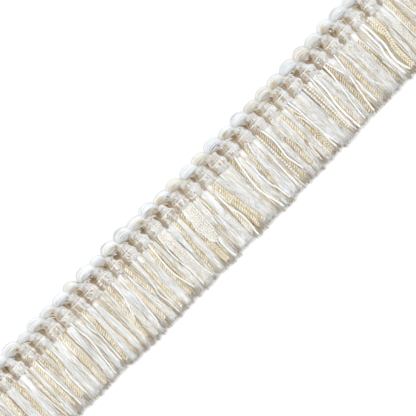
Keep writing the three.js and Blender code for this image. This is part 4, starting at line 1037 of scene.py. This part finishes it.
def heading_bundles(cores):
    """Each bundle of the heading: a soft core, plied yarns down its back, tan yarns in the hollow, their tan-brown
    partly painted shade.
    """
    out = Yarns()
    gaps = np.array(GAP_ROOT)
    n = 26
    y = 15.0 + (6.2 - 15.0) * np.linspace(0, 1, n)
    rows = np.array(BARREL)[::-1]
    low = np.clip(through(rows[:, 0], rows[:, 1], y), 0, 1)[None, :]
    for i in range(len(gaps) - 1):
        left, right, crown, foot = barrel(i, y)
        middle, half = (left + right) / 2, (right - left) / 2
        b = 2 * np.pi * np.arange(12) / 12
        core = np.empty((1, n, 12, 3))
        core[0, :, :, 0] = middle[:, None] + half[:, None] * 0.94 * np.cos(b)[None, :]
        core[0, :, :, 1] = y[:, None] + stray(middle)[:, None]
        high = foot[:, None] + (crown - 0.34 - foot)[:, None] * over(np.cos(b))[None, :]
        core[0, :, :, 2] = np.where(np.sin(b)[None, :] >= 0, high, np.maximum(foot[:, None] - 0.7, 0.3))
        cores.add_grid(core, np.broadcast_to(mix(WARM, TAN, 0.45), core.shape), caps=True)
        count = 15
        q = np.linspace(-1.0, 1.0, count) + rng.normal(0, 0.03, count)
        q = np.sin(q * 1.4) / math.sin(1.4)  # closer together at the sides, where they turn down
        cross = 0.05 * rng.normal(0, 1, (count, 1)) * (y - 10.5)[None, :] / 4 + wander(count, n, 0.025, (1, 2.5, 4))
        qq = np.clip(q[:, None] + cross, -1.04, 1.04)
        x = middle[None, :] + half[None, :] * qq
        z = foot[None, :] + (crown - foot)[None, :] * over(np.clip(qq, -1, 1)) - 0.24
        z = z - (np.arange(count) % 2)[:, None] * 0.08
        path = np.stack([x, y + stray(x.ravel()).reshape(x.shape), np.maximum(z, 0.4)], -1)
        white = (mix(COOL, WARM, rng.random(count) * 0.8) * rng.uniform(0.9, 1.0, (count, 1)))[:, None, :]
        # The stone-tan blend weighs most on the left of each bundle: partly the yarns' own colour, partly painted
        # shade under the loops.
        drab_and_shade = mix(STONE, TAN, rng.uniform(0.0, 1.0, count)) * rng.uniform(0.86, 1.0, (count, 1))
        above, below = np.clip(0.3 - q / 0.6, 0.04, 1), np.clip(-0.3 - q, 0, 0.6) / 0.6 + 0.1
        weight = above[:, None] * (1 - low) + below[:, None] * low
        for _ in range(13):
            at_q, at_y = rng.uniform(-1, 1), rng.uniform(7.2, 13.8)
            sign = 1.0 if rng.random() < 0.5 - 0.3 * at_q else -1.2
            weight = weight + sign * 0.42 * np.exp(-(((qq - at_q) / 0.2) ** 2) - ((y[None, :] - at_y) / 0.85) ** 2)
        weight = np.clip((weight - rng.random((count, 1))) / 0.35 + 0.5, 0, 1)[..., None]
        if i in GOLD_IN_COLUMN:
            place, depth = GOLD_IN_COLUMN[i]
            near = np.exp(-(((q - place) / 0.3) ** 2))[:, None, None] * low[..., None] * 0.8
            white = white * (1 - near) + mix(CREAM, GOLD, depth) * near
        spots = np.stack([flecks(n, 0.8, 0.35) for _ in range(count)])[..., None]
        colour = (white * (1 - weight) + drab_and_shade[:, None, :] * weight) * (1 - 0.12 * spots)
        # The second ply is a darker copy of the first: painted shade on alternate plies.
        shaded_ply = colour * 0.8 + STONE * 0.1
        radius = np.maximum(half * 2 / count * 0.66, 0.2)[None, :] * (1 + 0.1 * (spots[..., 0] - 0.5))
        out.tubes(path, radius, 5, colour, phase=rng.uniform(0, 6, count), second=shaded_ply, turns=1, spacing=1.3)
        few = 6
        k = np.linspace(0.0, 1.0, few)[:, None] + rng.normal(0, 0.05, (few, 1))
        down = np.interp(y, [6.2, 7.4, 10.2, 12.0, 15.2], [1, 1, 1, 0, 0])[None, :]
        open_left = barrel(max(i - 1, 0), y)[1] if i else np.full(n, gaps[0])
        open_right = left
        x = open_left[None, :] + (open_right - open_left)[None, :] * k + wander(few, n, 0.06, (1, 2.2))
        z = np.interp(y, [6.2, 10.2, 12.0, 13.6, 15.2], [1.75, 1.8, 1.75, 1.95, 2.2])[None, :]
        z = z + 0.12 * np.sin(y[None, :] * 2.3 + k * 5) + 0.08 * rng.normal(0, 1, (few, 1))
        path = np.stack([x, y + stray(x.ravel()).reshape(x.shape), np.maximum(z, 0.7)], -1)
        # The hollow yarns are tan-brown: partly their own colour, partly painted shade of the hollow. In the lower row
        # they are greyed lighter toward stone, and their second ply is a darker copy, painted shade on alternate
        # plies.
        base = mix(TAN, BROWN, rng.uniform(0.4, 1.2, few)) * np.array([0.98, 0.94, 0.86])
        base = np.where((rng.random(few) < 0.2)[:, None], mix(STONE, TAN, 0.4), base)
        spots = np.stack([flecks(n, 0.7, 0.35) for _ in range(few)])
        colour = base[:, None, :] * (1 - 0.2 * spots)[..., None]
        colour = colour * (1 - 0.28 * down[..., None]) + STONE * 0.28 * down[..., None]
        out.tubes(
            path, rng.uniform(0.24, 0.32, few)[:, None] * np.ones((1, n)), 4, colour, phase=rng.uniform(0, 6, few),
            second=colour * 0.85, turns=1, spacing=0.9,
        )  # fmt: skip
    ticks(out)
    return out


def ticks(out):
    """Short slanted stitches of the bundles' yarns that lie over them."""
    gaps = np.array(GAP_ROOT)
    n = 6
    t = np.linspace(-0.5, 0.5, n)
    for i in range(len(gaps) - 1):
        for y0, y1, count in ((11.4, 13.8, 2), (7.5, 10.0, 4)):
            for _ in range(count):
                y = rng.uniform(y0, y1)
                left, right, _, _ = (float(v[0]) for v in barrel(i, np.array([y])))
                q = rng.uniform(-0.85, 0.9)
                long, tilt = rng.uniform(0.6, 1.1), rng.normal(0.5, 0.2)
                x = (left + right) / 2 + q * (right - left) / 2
                px, py = x + long * t * math.sin(tilt), y - long * t * math.cos(tilt)
                z = bundle_height(px, py) - 0.16 - 1.2 * t**2
                shade = mix(WARM, COOL, rng.random()) * rng.uniform(0.86, 0.97)
                # Stitches on the left of a bundle are more often stone-tan: partly their own colour, partly painted
                # shade. The second ply is a darker copy, painted shade on alternate plies.
                if rng.random() < 0.42 - 0.4 * q:
                    shade = mix(STONE, TAN, rng.random()) * rng.uniform(0.9, 1.0)
                colour = np.broadcast_to(shade, (1, n, 3))
                path = np.stack([px, py + stray(px), np.maximum(z, 0.9)], -1)[None]
                out.tubes(path, rng.uniform(0.3, 0.42), 6, colour, second=colour * 0.92, turns=1, spacing=0.7)


# The threads that bind the bundles: y, radius, lift, brightness.
BINDING = [
    (13.5, 0.14, -0.16, 0.86),
    (12.75, 0.13, -0.17, 0.85),
    (12.0, 0.14, -0.16, 0.88),
    (11.3, 0.15, -0.02, 0.94),
    (10.2, 0.19, 0.02, 1.0),
    (9.3, 0.08, -0.14, 0.86),
    (7.85, 0.14, -0.02, 0.97),
    (7.35, 0.17, 0.03, 0.98),
]


def binding_threads():
    out = Yarns()
    n = 35 * 13 + 1
    x = np.linspace(FAR_LEFT + 0.15, FAR_RIGHT - 0.15, n)
    for y0, radius, lift, bright in BINDING:
        y = y0 + 0.06 * np.sin(2 * np.pi * x / 6.7 + rng.uniform(0, 6)) + 0.05 * np.sin(x / 1.3 + rng.uniform(0, 6))
        high = bundle_height(x, y)
        z = np.maximum(high + lift, 1.05)
        z = np.convolve(np.pad(z, 1, mode="edge"), [0.2, 0.6, 0.2], mode="valid")
        path = np.stack([x, y + stray(x), z], -1)[None]
        gaps = np.array(GAP_ROOT)
        share = x - gaps[np.clip(np.searchsorted(gaps, x) - 1, 0, len(gaps) - 2)]
        # Painted shade: each thread is dulled toward stone-tan near the gap at a bundle's left and where it sinks into
        # a hollow. Its second ply is a darker copy, painted shade on alternate plies.
        dull = 0.8 * np.clip(1 - (share - 1.6) / 2.0, 0, 1) if y0 > 10.5 else 0.6 * np.clip(1 - (share - 0.9) / 1.2, 0, 1)
        hollow_shade = np.clip(1 - (high - 1.4) / 0.8, 0, 1) * 0.9
        dull = np.maximum(dull, hollow_shade)[None, :, None]
        patch = (0.84 + 0.18 * flecks(n, 1.1, 0.51))[None, :, None]
        colour = ((WHITE * 0.97 * bright)[None, None, :] * (1 - dull) + mix(TAN, STONE, 0.35) * 0.95 * dull) * patch
        out.tubes(path, radius, 5, colour, start=(0, 0, 1), flat=0.8, second=colour * 0.88, turns=1, spacing=0.7)
    return out


def loop_yarns():
    """The turned loops: a core and soft yarns that arch over from the left, then run to their bundle."""
    out, cores = Yarns(), Yarns()
    gaps = np.array(GAP_ROOT)
    for middle, wide, tall, up, kind in LOOPS:
        i = min(int(np.argmin(np.abs(gaps - middle))), len(gaps) - 2)
        eye, top = 14.45 + up * 0.6, 14.4 + up + tall
        rise, half_x = top - eye, wide / 2 + 0.25
        half_z = 1.1 + tall * 0.1
        z_mid = half_z + 0.42
        lean = 0.7 + 0.25 * rng.normal()

        def place(share, angle):
            """In-plane place at a share of the way up (the underside bows down below 0), at an angle."""
            sn, cs = np.sin(angle), np.cos(angle)
            y = eye + rise * share * np.where(sn > 0, np.abs(sn) ** 0.8, 0.22 * sn)
            far = 0.52 + 0.48 * np.clip(share, 0, 1)
            x = middle + lean * (1 - np.clip((y - eye) / rise, 0, 1)) * 0.8 + half_x * far * np.sign(cs) * np.abs(cs) ** 0.88
            return x, y

        def depth_at(share, angle):
            out_part = np.sqrt(np.maximum(0, 1 - np.clip((share - 0.45) / 0.55, 0, 1) ** 2 * 0.98))
            in_part = np.sqrt(np.maximum(0, 1 - 0.97 * np.clip((0.45 - share) / 0.66, 0, 1) ** 2))
            side = 0.84 + 0.16 * np.clip(np.sin(angle), 0, 1)
            return half_z * side * out_part * in_part

        # A core under the yarns.
        rings, sides = 12, 10
        angle = np.linspace(np.pi + 0.2, -0.2, rings)[:, None]
        b = (2 * np.pi * np.arange(sides) / sides)[None, :]
        share = 0.5 + 0.4 * np.cos(b)
        x, y = place(share, angle)
        core = np.stack([x, y + stray(np.array([middle]))[0], z_mid + 0.8 * depth_at(share, angle) * np.sin(b)], -1)[None]
        cores.add_grid(core, np.broadcast_to(mix(WARM, TAN, 0.3), core.shape), caps=True)
        # Yarns over it, which run on from its right end down into the bundle, and a few below.
        n, upper, lower = 20, 29, 7
        count = upper + lower
        t = np.linspace(0, 1, n)[None, :]
        share = np.concatenate([np.linspace(-0.2, 1, upper), np.linspace(0.1, 0.9, lower)])
        share[:upper] = share[:upper] + 0.05 * np.sin((share[:upper] + 0.2) / 1.2 * np.pi)
        share = share[:, None] + rng.normal(0, 0.012, (count, 1)) + 0.02 * np.sin(2 * np.pi * (t * rng.uniform(0.5, 1.5, (count, 1)) + rng.random((count, 1))))
        share = np.clip(share, -0.21, 1.0)
        sign = np.where(np.arange(count) < upper, 1.0, -1.0)[:, None]
        rib = np.sin(2 * np.pi * share / 0.23 + rng.uniform(0, 6))
        leave = 0.72 - 0.36 * np.clip((0.32 - share) / 0.5, 0, 1) + rng.normal(0, 0.02, (count, 1))
        leave = np.clip(np.where(np.arange(count)[:, None] < upper, leave, 0.72), 0.3, 0.76)[:, :1]
        arc, tail = np.clip(t / leave, 0, 1), np.clip((t - leave) / (1 - leave), 0, 1)
        angle = np.pi + 0.28 - (np.pi + 0.24) * arc * leave / 0.72 + rng.normal(0, 0.03, (count, 1))
        x, y = place(share, angle)
        z = z_mid + sign * (depth_at(share, angle) + rng.uniform(-0.08, 0.05, (count, 1)) + 0.07 * rib)
        left_foot = np.clip(-np.sin(angle) / 0.28, 0, 1) * (arc < 0.5)
        z = z - sign * 1.3 * left_foot
        y = y + rng.uniform(-0.25, 0.25, (count, 1)) * left_foot
        end_x = gaps[i] + 2.1 + 3.3 * np.clip(share[:, -1:], 0, 1) + rng.normal(0, 0.15, (count, 1))
        end_y = 12.7 + rng.uniform(-0.5, 0.5, (count, 1))
        x = x + (end_x - x) * tail
        y = y + (end_y - y) * tail
        neck = bundle_height(x.ravel(), y.ravel()).reshape(x.shape)
        down = np.maximum(neck + 0.1, z * (1 - tail) + (neck - 0.1) * tail) - 0.45 * np.clip((tail - 0.8) / 0.2, 0, 1)
        z = np.where((tail > 0) & (sign > 0), down, z)
        path = np.stack([x, y + stray(x.ravel()).reshape(x.shape), np.maximum(z, 0.22)], -1)
        base = mix(COOL, WARM, np.clip(rng.normal(0.0, 0.15, count), 0, 1)) * np.array([0.985, 1.0, 1.01])
        if kind == "c":
            base = mix(COOL, mix(WARM, CREAM, 0.4), np.clip(rng.normal(0.6, 0.4, count), 0, 1))
        warm = (rng.random(count) < 0.12)[:, None]
        base = np.where(warm, mix(WARM, mix(CREAM, GOLD, 0.5), rng.uniform(0.1, 0.4, count)), base)
        base = (base * rng.uniform(0.79, 0.905, (count, 1)))[:, None, :] * np.ones((1, n, 1))
        leftness = np.clip((np.cos(np.pi - angle) + 0.35) / 0.6, 0, 1)
        near = 0.0
        # Gold for kinds u and c sits low on the inner side of the loop: partly gold yarn, partly painted shade under
        # the dome.
        if kind == "u":
            rightness = np.clip((np.cos(angle) + 0.5) / 0.9, 0, 1)
            near = np.exp(-(((share - 0.16) / 0.2) ** 2)) * rightness * (0.6 + 0.3 * np.sin(share * 70 + t * 25))
        elif kind == "s":
            near = np.exp(-(((share - 0.3) / 0.32) ** 2)) * leftness * (0.82 + 0.28 * np.sin(share * 60 + t * 20))
        elif kind == "f":
            near = np.exp(-(((share - 0.66) / 0.035) ** 2)) * 0.2 + np.exp(-(((share - 0.12) / 0.16) ** 2)) * (0.45 + 0.25 * np.sin(share * 70 + t * 25))
        elif kind == "c":
            near = np.exp(-(((share - 0.2) / 0.14) ** 2)) * 0.7 * leftness
        near = np.asarray(near * np.ones((count, n)))[..., None]
        base = base * (1 - near) + mix(GOLD, DEEP, 0.25) * near
        # Painted shade: each loop is darkened and greyed toward its underside, at its left and at its rim, and browned
        # at its left foot. Raised ribs are painted a little lighter.
        low_down = np.clip(1 - (y - eye + 0.3) / 2.2, 0, 1)[..., None]
        edge = np.clip((share - 0.82) / 0.18, 0, 1)[..., None]
        foot = left_foot[..., None]
        shade = 0.17 * low_down * (1 - 0.4 * tail[..., None]) + 0.08 * leftness[..., None] + 0.10 * edge
        underside_shade = (0.36 * low_down * (1 - 0.5 * tail[..., None]))
        colour = base * (1 - shade) * (1 - 0.3 * foot) + TAN * foot * 0.25
        colour = (colour * (1 - underside_shade) + STONE * 0.9 * underside_shade) * (1 + 0.028 * rib[..., None] + 0.02 * np.sin(share * 90 + t * 31)[..., None])
        radius = rng.uniform(0.19, 0.26, (count, 1)) * (1 - 0.3 * foot[..., 0])
        out.tubes(path, radius, 3, colour, phase=rng.uniform(0, 6, count), start=(0, 0.1, 1))
        # Slack yarns that slant from under it across the hollow.
        few, n = 12, 9
        t = np.linspace(0, 1, n)[None, :]
        from_x = middle + rng.uniform(-0.42, 0.4, (few, 1)) * wide
        to_x = from_x + rng.uniform(0.9, 2.4, (few, 1))
        from_y = eye - 0.1 + rng.uniform(-0.3, 0.3, (few, 1))
        to_y = rng.uniform(12.0, 13.2, (few, 1))
        x = from_x + (to_x - from_x) * t + 0.15 * np.sin(np.pi * t) * rng.normal(0, 1, (few, 1))
        y = from_y + (to_y - from_y) * t
        neck = bundle_height(x.ravel(), y.ravel()).reshape(x.shape)
        z = np.maximum(neck + 0.02, 2.05) + 0.25 * np.sin(np.pi * t) - 0.5 * np.clip((t - 0.75) / 0.25, 0, 1) - 0.25
        path = np.stack([x, y + stray(x.ravel()).reshape(x.shape), z], -1)
        # Slack yarns across the hollow are stone, tan and brown: partly their own colour, partly painted shade of the
        # hollow.
        pick = rng.random(few)[:, None]
        base = np.where(pick < 0.45, mix(WARM, STONE, rng.uniform(0, 1, few)) * 0.95, mix(STONE, TAN, rng.uniform(0.2, 1, few)))
        base = np.where(pick > 0.8, mix(TAN, BROWN, rng.random(few)), base)
        out.tubes(path, rng.uniform(0.17, 0.27, (few, 1)) * np.ones((1, n)), 4, base[:, None, :] * np.ones((1, n, 1)))
    return out, cores


def heading_web():
    """The thin woven ground that the bundles and threads make together."""
    columns, rows = 35 * 6 + 1, 11
    x = np.linspace(FAR_LEFT + 0.1, FAR_RIGHT - 0.1, columns)
    y = np.linspace(5.5, 15.6, rows)
    gx, gy = np.meshgrid(x, y, indexing="ij")
    wave = 0.06 * np.sin(2 * np.pi * gx / 3.3) * np.cos(2 * np.pi * gy / 1.6)
    low = np.zeros_like(gx) + 0.02
    high = 0.85 + wave
    top = np.stack([gx, gy + stray(gx.ravel()).reshape(gx.shape), high], -1)
    bottom = np.stack([gx, top[..., 1], low], -1)
    verts = np.concatenate([top.reshape(-1, 3), bottom.reshape(-1, 3)])
    verts[:, 0] -= MIDDLE[0]
    verts[:, 1] -= MIDDLE[1]
    verts *= MM
    at = np.arange(columns * rows).reshape(columns, rows)
    under = at + columns * rows
    faces, uvs = [], []

    def place(i, j, layer):
        return (i / (columns - 1) * 0.98 + 0.01, (0.01 if layer else 0.51) + j / (rows - 1) * 0.44)

    for i in range(columns - 1):
        for j in range(rows - 1):
            faces.append((at[i, j], at[i + 1, j], at[i + 1, j + 1], at[i, j + 1]))
            uvs += [place(i, j, 0), place(i + 1, j, 0), place(i + 1, j + 1, 0), place(i, j + 1, 0)]
            faces.append((under[i, j], under[i, j + 1], under[i + 1, j + 1], under[i + 1, j]))
            uvs += [place(i, j, 1), place(i, j + 1, 1), place(i + 1, j + 1, 1), place(i + 1, j, 1)]
    for i in range(columns - 1):
        for j, order in ((0, 1), (rows - 1, -1)):
            f = (at[i, j], under[i, j], under[i + 1, j], at[i + 1, j])
            faces.append(f[::order])
            band = 0.47 if j == 0 else 0.97
            p = [(i / (columns - 1) * 0.98 + 0.01, band + 0.015), (i / (columns - 1) * 0.98 + 0.01, band)]
            q = [((i + 1) / (columns - 1) * 0.98 + 0.01, band), ((i + 1) / (columns - 1) * 0.98 + 0.01, band + 0.015)]
            uvs += (p + q)[::order]
    for i, order in ((0, -1), (columns - 1, 1)):
        for j in range(rows - 1):
            f = (at[i, j], under[i, j], under[i, j + 1], at[i, j + 1])
            faces.append(f[::order])
            u0 = 0.002 if i == 0 else 0.992
            p = [(u0, 0.51 + j / (rows - 1) * 0.44), (u0 + 0.006, 0.51 + j / (rows - 1) * 0.44)]
            q = [(u0 + 0.006, 0.51 + (j + 1) / (rows - 1) * 0.44), (u0, 0.51 + (j + 1) / (rows - 1) * 0.44)]
            uvs += (p + q)[::order]
    mesh = bpy.data.meshes.new("heading_web")
    mesh.from_pydata([tuple(v) for v in verts], [], faces)
    mesh.update()
    layer = mesh.uv_layers.new(name="OFBake", do_init=False)
    layer.uv.foreach_set("vector", np.array(uvs, np.float32).ravel())
    layer = mesh.attributes.new("tint", "FLOAT_COLOR", "POINT")
    # The ground is tan-brown: partly its own colour, partly painted shade where it shows in the gaps.
    shade = mix(TAN, BROWN, 0.5)
    layer.data.foreach_set("color", np.tile(np.append(shade, 1.0), len(verts)).astype(np.float32))
    for p in mesh.polygons:
        p.use_smooth = True
    piece = bpy.data.objects.new("heading_web", mesh)
    bpy.context.scene.collection.objects.link(piece)
    return piece


# ---- Materials ----
def yarn_material(name, roughness, sheen, streak, grain, bump, vary=0.12, mottling=0.06, specular=0.4, groove=0.0):
    """Dyed yarn: its own tint, streaked along the fibres and mottled, with a fibrous bump.

    With a groove it also shows the lay of its light and dark plies, and darkens the crease between the plies as
    painted shade.
    """
    mat = bpy.data.materials.new(name)
    mat.use_nodes = True
    nt = mat.node_tree
    nt.nodes.clear()

    def node(kind, **inputs):
        made = nt.nodes.new(kind)
        for key, value in inputs.items():
            made.inputs[key.replace("_", " ")].default_value = value
        return made

    def maths(operation, a, b=None):
        made = nt.nodes.new("ShaderNodeMath")
        made.operation = operation
        for socket, value in zip(made.inputs, (a, b)):
            if value is None:
                continue
            if isinstance(value, (int, float)):
                socket.default_value = value
            else:
                nt.links.new(value, socket)
        return made.outputs[0]

    def spread(value, a, b, c, d):
        made = node("ShaderNodeMapRange", From_Min=a, From_Max=b, To_Min=c, To_Max=d)
        nt.links.new(value, made.inputs["Value"])
        return made.outputs[0]

    out = node("ShaderNodeOutputMaterial")
    p = node("ShaderNodeBsdfPrincipled")
    nt.links.new(p.outputs[0], out.inputs["Surface"])
    tinted = node("ShaderNodeAttribute")
    tinted.attribute_name = "tint"
    colour = tinted.outputs["Color"]
    place = node("ShaderNodeTexCoord").outputs["Object"]
    stretch = node("ShaderNodeMapping", Scale=streak)
    nt.links.new(place, stretch.inputs["Vector"])
    fibres = node("ShaderNodeTexNoise", Scale=1.0, Detail=3.0, Roughness=0.6)
    nt.links.new(stretch.outputs[0], fibres.inputs["Vector"])
    mottle = node("ShaderNodeTexNoise", Scale=grain, Detail=2.5, Roughness=0.6)
    nt.links.new(place, mottle.inputs["Vector"])
    value = maths(
        "MULTIPLY",
        spread(fibres.outputs["Fac"], 0.3, 0.7, 1.0 - vary, 1.0),
        spread(mottle.outputs["Fac"], 0.3, 0.7, 1.0 - mottling, 1.0),
    )
    height = fibres.outputs["Fac"]
    if groove:
        lay = node("ShaderNodeAttribute")
        lay.attribute_name = "lay"
        apart = node("ShaderNodeSeparateXYZ")
        nt.links.new(lay.outputs["Vector"], apart.inputs[0])
        push = node("ShaderNodeTexNoise", Scale=900.0, Detail=1.5)
        nt.links.new(place, push.inputs["Vector"])
        along = maths("ADD", apart.outputs["X"], spread(push.outputs["Fac"], 0.2, 0.8, -0.38, 0.38))
        wave = maths("SINE", maths("MULTIPLY", along, 2 * math.pi))
        ridge = maths("ABSOLUTE", wave)
        other = node("ShaderNodeAttribute")
        other.attribute_name = "second"
        blend = nt.nodes.new("ShaderNodeMix")
        blend.data_type = "RGBA"
        nt.links.new(spread(wave, -0.3, 0.3, 0.0, 1.0), blend.inputs["Factor"])
        for socket in blend.inputs:
            if socket.type == "RGBA":
                nt.links.new(colour if socket.name == "A" else other.outputs["Color"], socket)
        colour = [o for o in blend.outputs if o.type == "RGBA"][0]
        # Painted shade in the crease between plies.
        value = maths("MULTIPLY", value, spread(ridge, 0.0, 0.5, 1.0 - groove, 1.0))
        height = maths("ADD", maths("MULTIPLY", fibres.outputs["Fac"], 0.5), maths("POWER", ridge, 0.6))
    scaled = nt.nodes.new("ShaderNodeVectorMath")
    scaled.operation = "SCALE"
    nt.links.new(colour, scaled.inputs[0])
    nt.links.new(value, scaled.inputs["Scale"])
    nt.links.new(scaled.outputs[0], p.inputs["Base Color"])
    nt.links.new(spread(fibres.outputs["Fac"], 0.0, 1.0, roughness - 0.1, roughness + 0.1), p.inputs["Roughness"])
    relief = node("ShaderNodeBump", Strength=bump, Distance=0.00012)
    nt.links.new(height, relief.inputs["Height"])
    nt.links.new(relief.outputs[0], p.inputs["Normal"])
    p.inputs["Sheen Weight"].default_value = sheen
    p.inputs["Sheen Roughness"].default_value = 0.4
    p.inputs["Specular IOR Level"].default_value = specular
    return mat


floss_look = yarn_material("floss", 0.55, 0.25, (5000, 500, 5000), 1300, 0.25, 0.15, 0.10, 0.35)
cord_look = yarn_material("spun_cord", 0.62, 0.2, (3500, 3500, 3500), 900, 0.5, 0.05, 0.06, 0.35, groove=0.12)
plied_look = yarn_material("plied_cord", 0.66, 0.2, (4000, 4000, 4000), 1100, 0.7, 0.14, 0.10, 0.3, groove=0.25)
crinkle_look = yarn_material("crinkled_yarn", 0.7, 0.3, (4500, 4500, 4500), 1000, 0.7, 0.10, 0.10, 0.3, groove=0.22)
bundle_look = yarn_material("heading_yarn", 0.66, 0.25, (3500, 3500, 3500), 1000, 0.5, 0.10, 0.14, 0.3, groove=0.16)
loop_look = yarn_material("loop_floss", 0.5, 0.25, (1200, 3000, 4000), 700, 0.25, 0.05, 0.06, 0.4)
ground_look = yarn_material("ground_weave", 0.8, 0.3, (3000, 900, 3000), 900, 0.6, 0.25, 0.12, 0.2)

# ---- Pieces ----
heading_parts, skirt_parts = [], []


def settle(piece, node, look):
    piece.data.materials.append(look)
    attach(piece, "root")
    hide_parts(node)
    (heading_parts if node == "heading" else skirt_parts).append(piece)
    return piece


web = settle(heading_web(), "heading", ground_look)
loops, cores = loop_yarns()
settle(loops.build("loop_floss"), "heading", loop_look)
settle(heading_bundles(cores).build("heading_bundles"), "heading", bundle_look)
settle(cores.build("heading_cores"), "heading", ground_look)
settle(binding_threads().build("binding_threads"), "heading", cord_look)
settle(floss_lower().build("skirt_under_floss"), "skirt", floss_look)
settle(floss_middle().build("skirt_middle_floss"), "skirt", floss_look)
fine, soft = floss_upper()
settle(fine.build("skirt_fine_floss"), "skirt", floss_look)
settle(soft.build("skirt_soft_yarns"), "skirt", floss_look)
settle(hairs().build("skirt_hairs"), "skirt", floss_look)
settle(bright_cords().build("skirt_bright_cords"), "skirt", cord_look)
settle(plied_cords().build("skirt_plied_cords"), "skirt", plied_look)
settle(crinkled_yarns().build("skirt_crinkled_yarns"), "skirt", crinkle_look)

# ---- Floor, light and camera ----
floor_mesh = bpy.data.meshes.new("floor")
floor_mesh.from_pydata([(-3, -3, 0), (3, -3, 0), (3, 3, 0), (-3, 3, 0)], [], [(0, 1, 2, 3)])
floor = bpy.data.objects.new("floor", floor_mesh)
bpy.context.scene.collection.objects.link(floor)
floor_look = bpy.data.materials.new("pale_floor")
floor_look.use_nodes = True
fp = floor_look.node_tree.nodes["Principled BSDF"]
fp.inputs["Base Color"].default_value = (0.93, 0.93, 0.93, 1)
fp.inputs["Roughness"].default_value = 0.9
fp.inputs["Specular IOR Level"].default_value = 0.1
floor_mesh.materials.append(floor_look)

world = bpy.data.worlds.new("soft_studio")
bpy.context.scene.world = world
world.use_nodes = True
world.node_tree.nodes["Background"].inputs["Strength"].default_value = 0.84
world.node_tree.nodes["Background"].inputs["Color"].default_value = (1.0, 0.986, 0.958, 1)


def lamp(name, place, size, watts, colour=(1, 1, 1)):
    light = bpy.data.lights.new(name, "AREA")
    light.shape = "DISK"
    light.size = size
    light.energy = watts
    light.color = colour
    ob = bpy.data.objects.new(name, light)
    ob.location = place
    ob.rotation_mode = "QUATERNION"
    ob.rotation_quaternion = (-Vector(place)).to_track_quat("-Z", "Y")
    bpy.context.scene.collection.objects.link(ob)


lamp("key", (-0.22, 0.5, 0.78), 0.42, 6.3, (0.97, 0.99, 1.02))
lamp("fill", (0.5, -0.45, 0.8), 0.8, 2.3)

# The camera looks straight down, turned so that the trim climbs from left to right.
PIXELS, MM_PER_PIXEL = 416, 0.37
TURN = math.radians(45.76)
data = bpy.data.cameras.new("camera")
data.lens = 180
data.sensor_width = 36
data.sensor_fit = "HORIZONTAL"
data.clip_start, data.clip_end = 0.01, 20
camera = bpy.data.objects.new("camera", data)
bpy.context.scene.collection.objects.link(camera)
frame_width = PIXELS * MM_PER_PIXEL * MM
height = frame_width * data.lens / data.sensor_width + 2.5 * MM
right = Vector((math.cos(TURN), -math.sin(TURN), 0))
up = Vector((math.sin(TURN), math.cos(TURN), 0))
spin = Matrix((right, up, Vector((0, 0, 1)))).transposed().to_4x4()
centre = Vector(((0.0 - MIDDLE[0]) * MM, (0.962 - MIDDLE[1]) * MM, height))
camera.matrix_world = Matrix.Translation(centre) @ spin
bpy.context.scene.camera = camera
bpy.context.scene.view_settings.view_transform = "Standard"
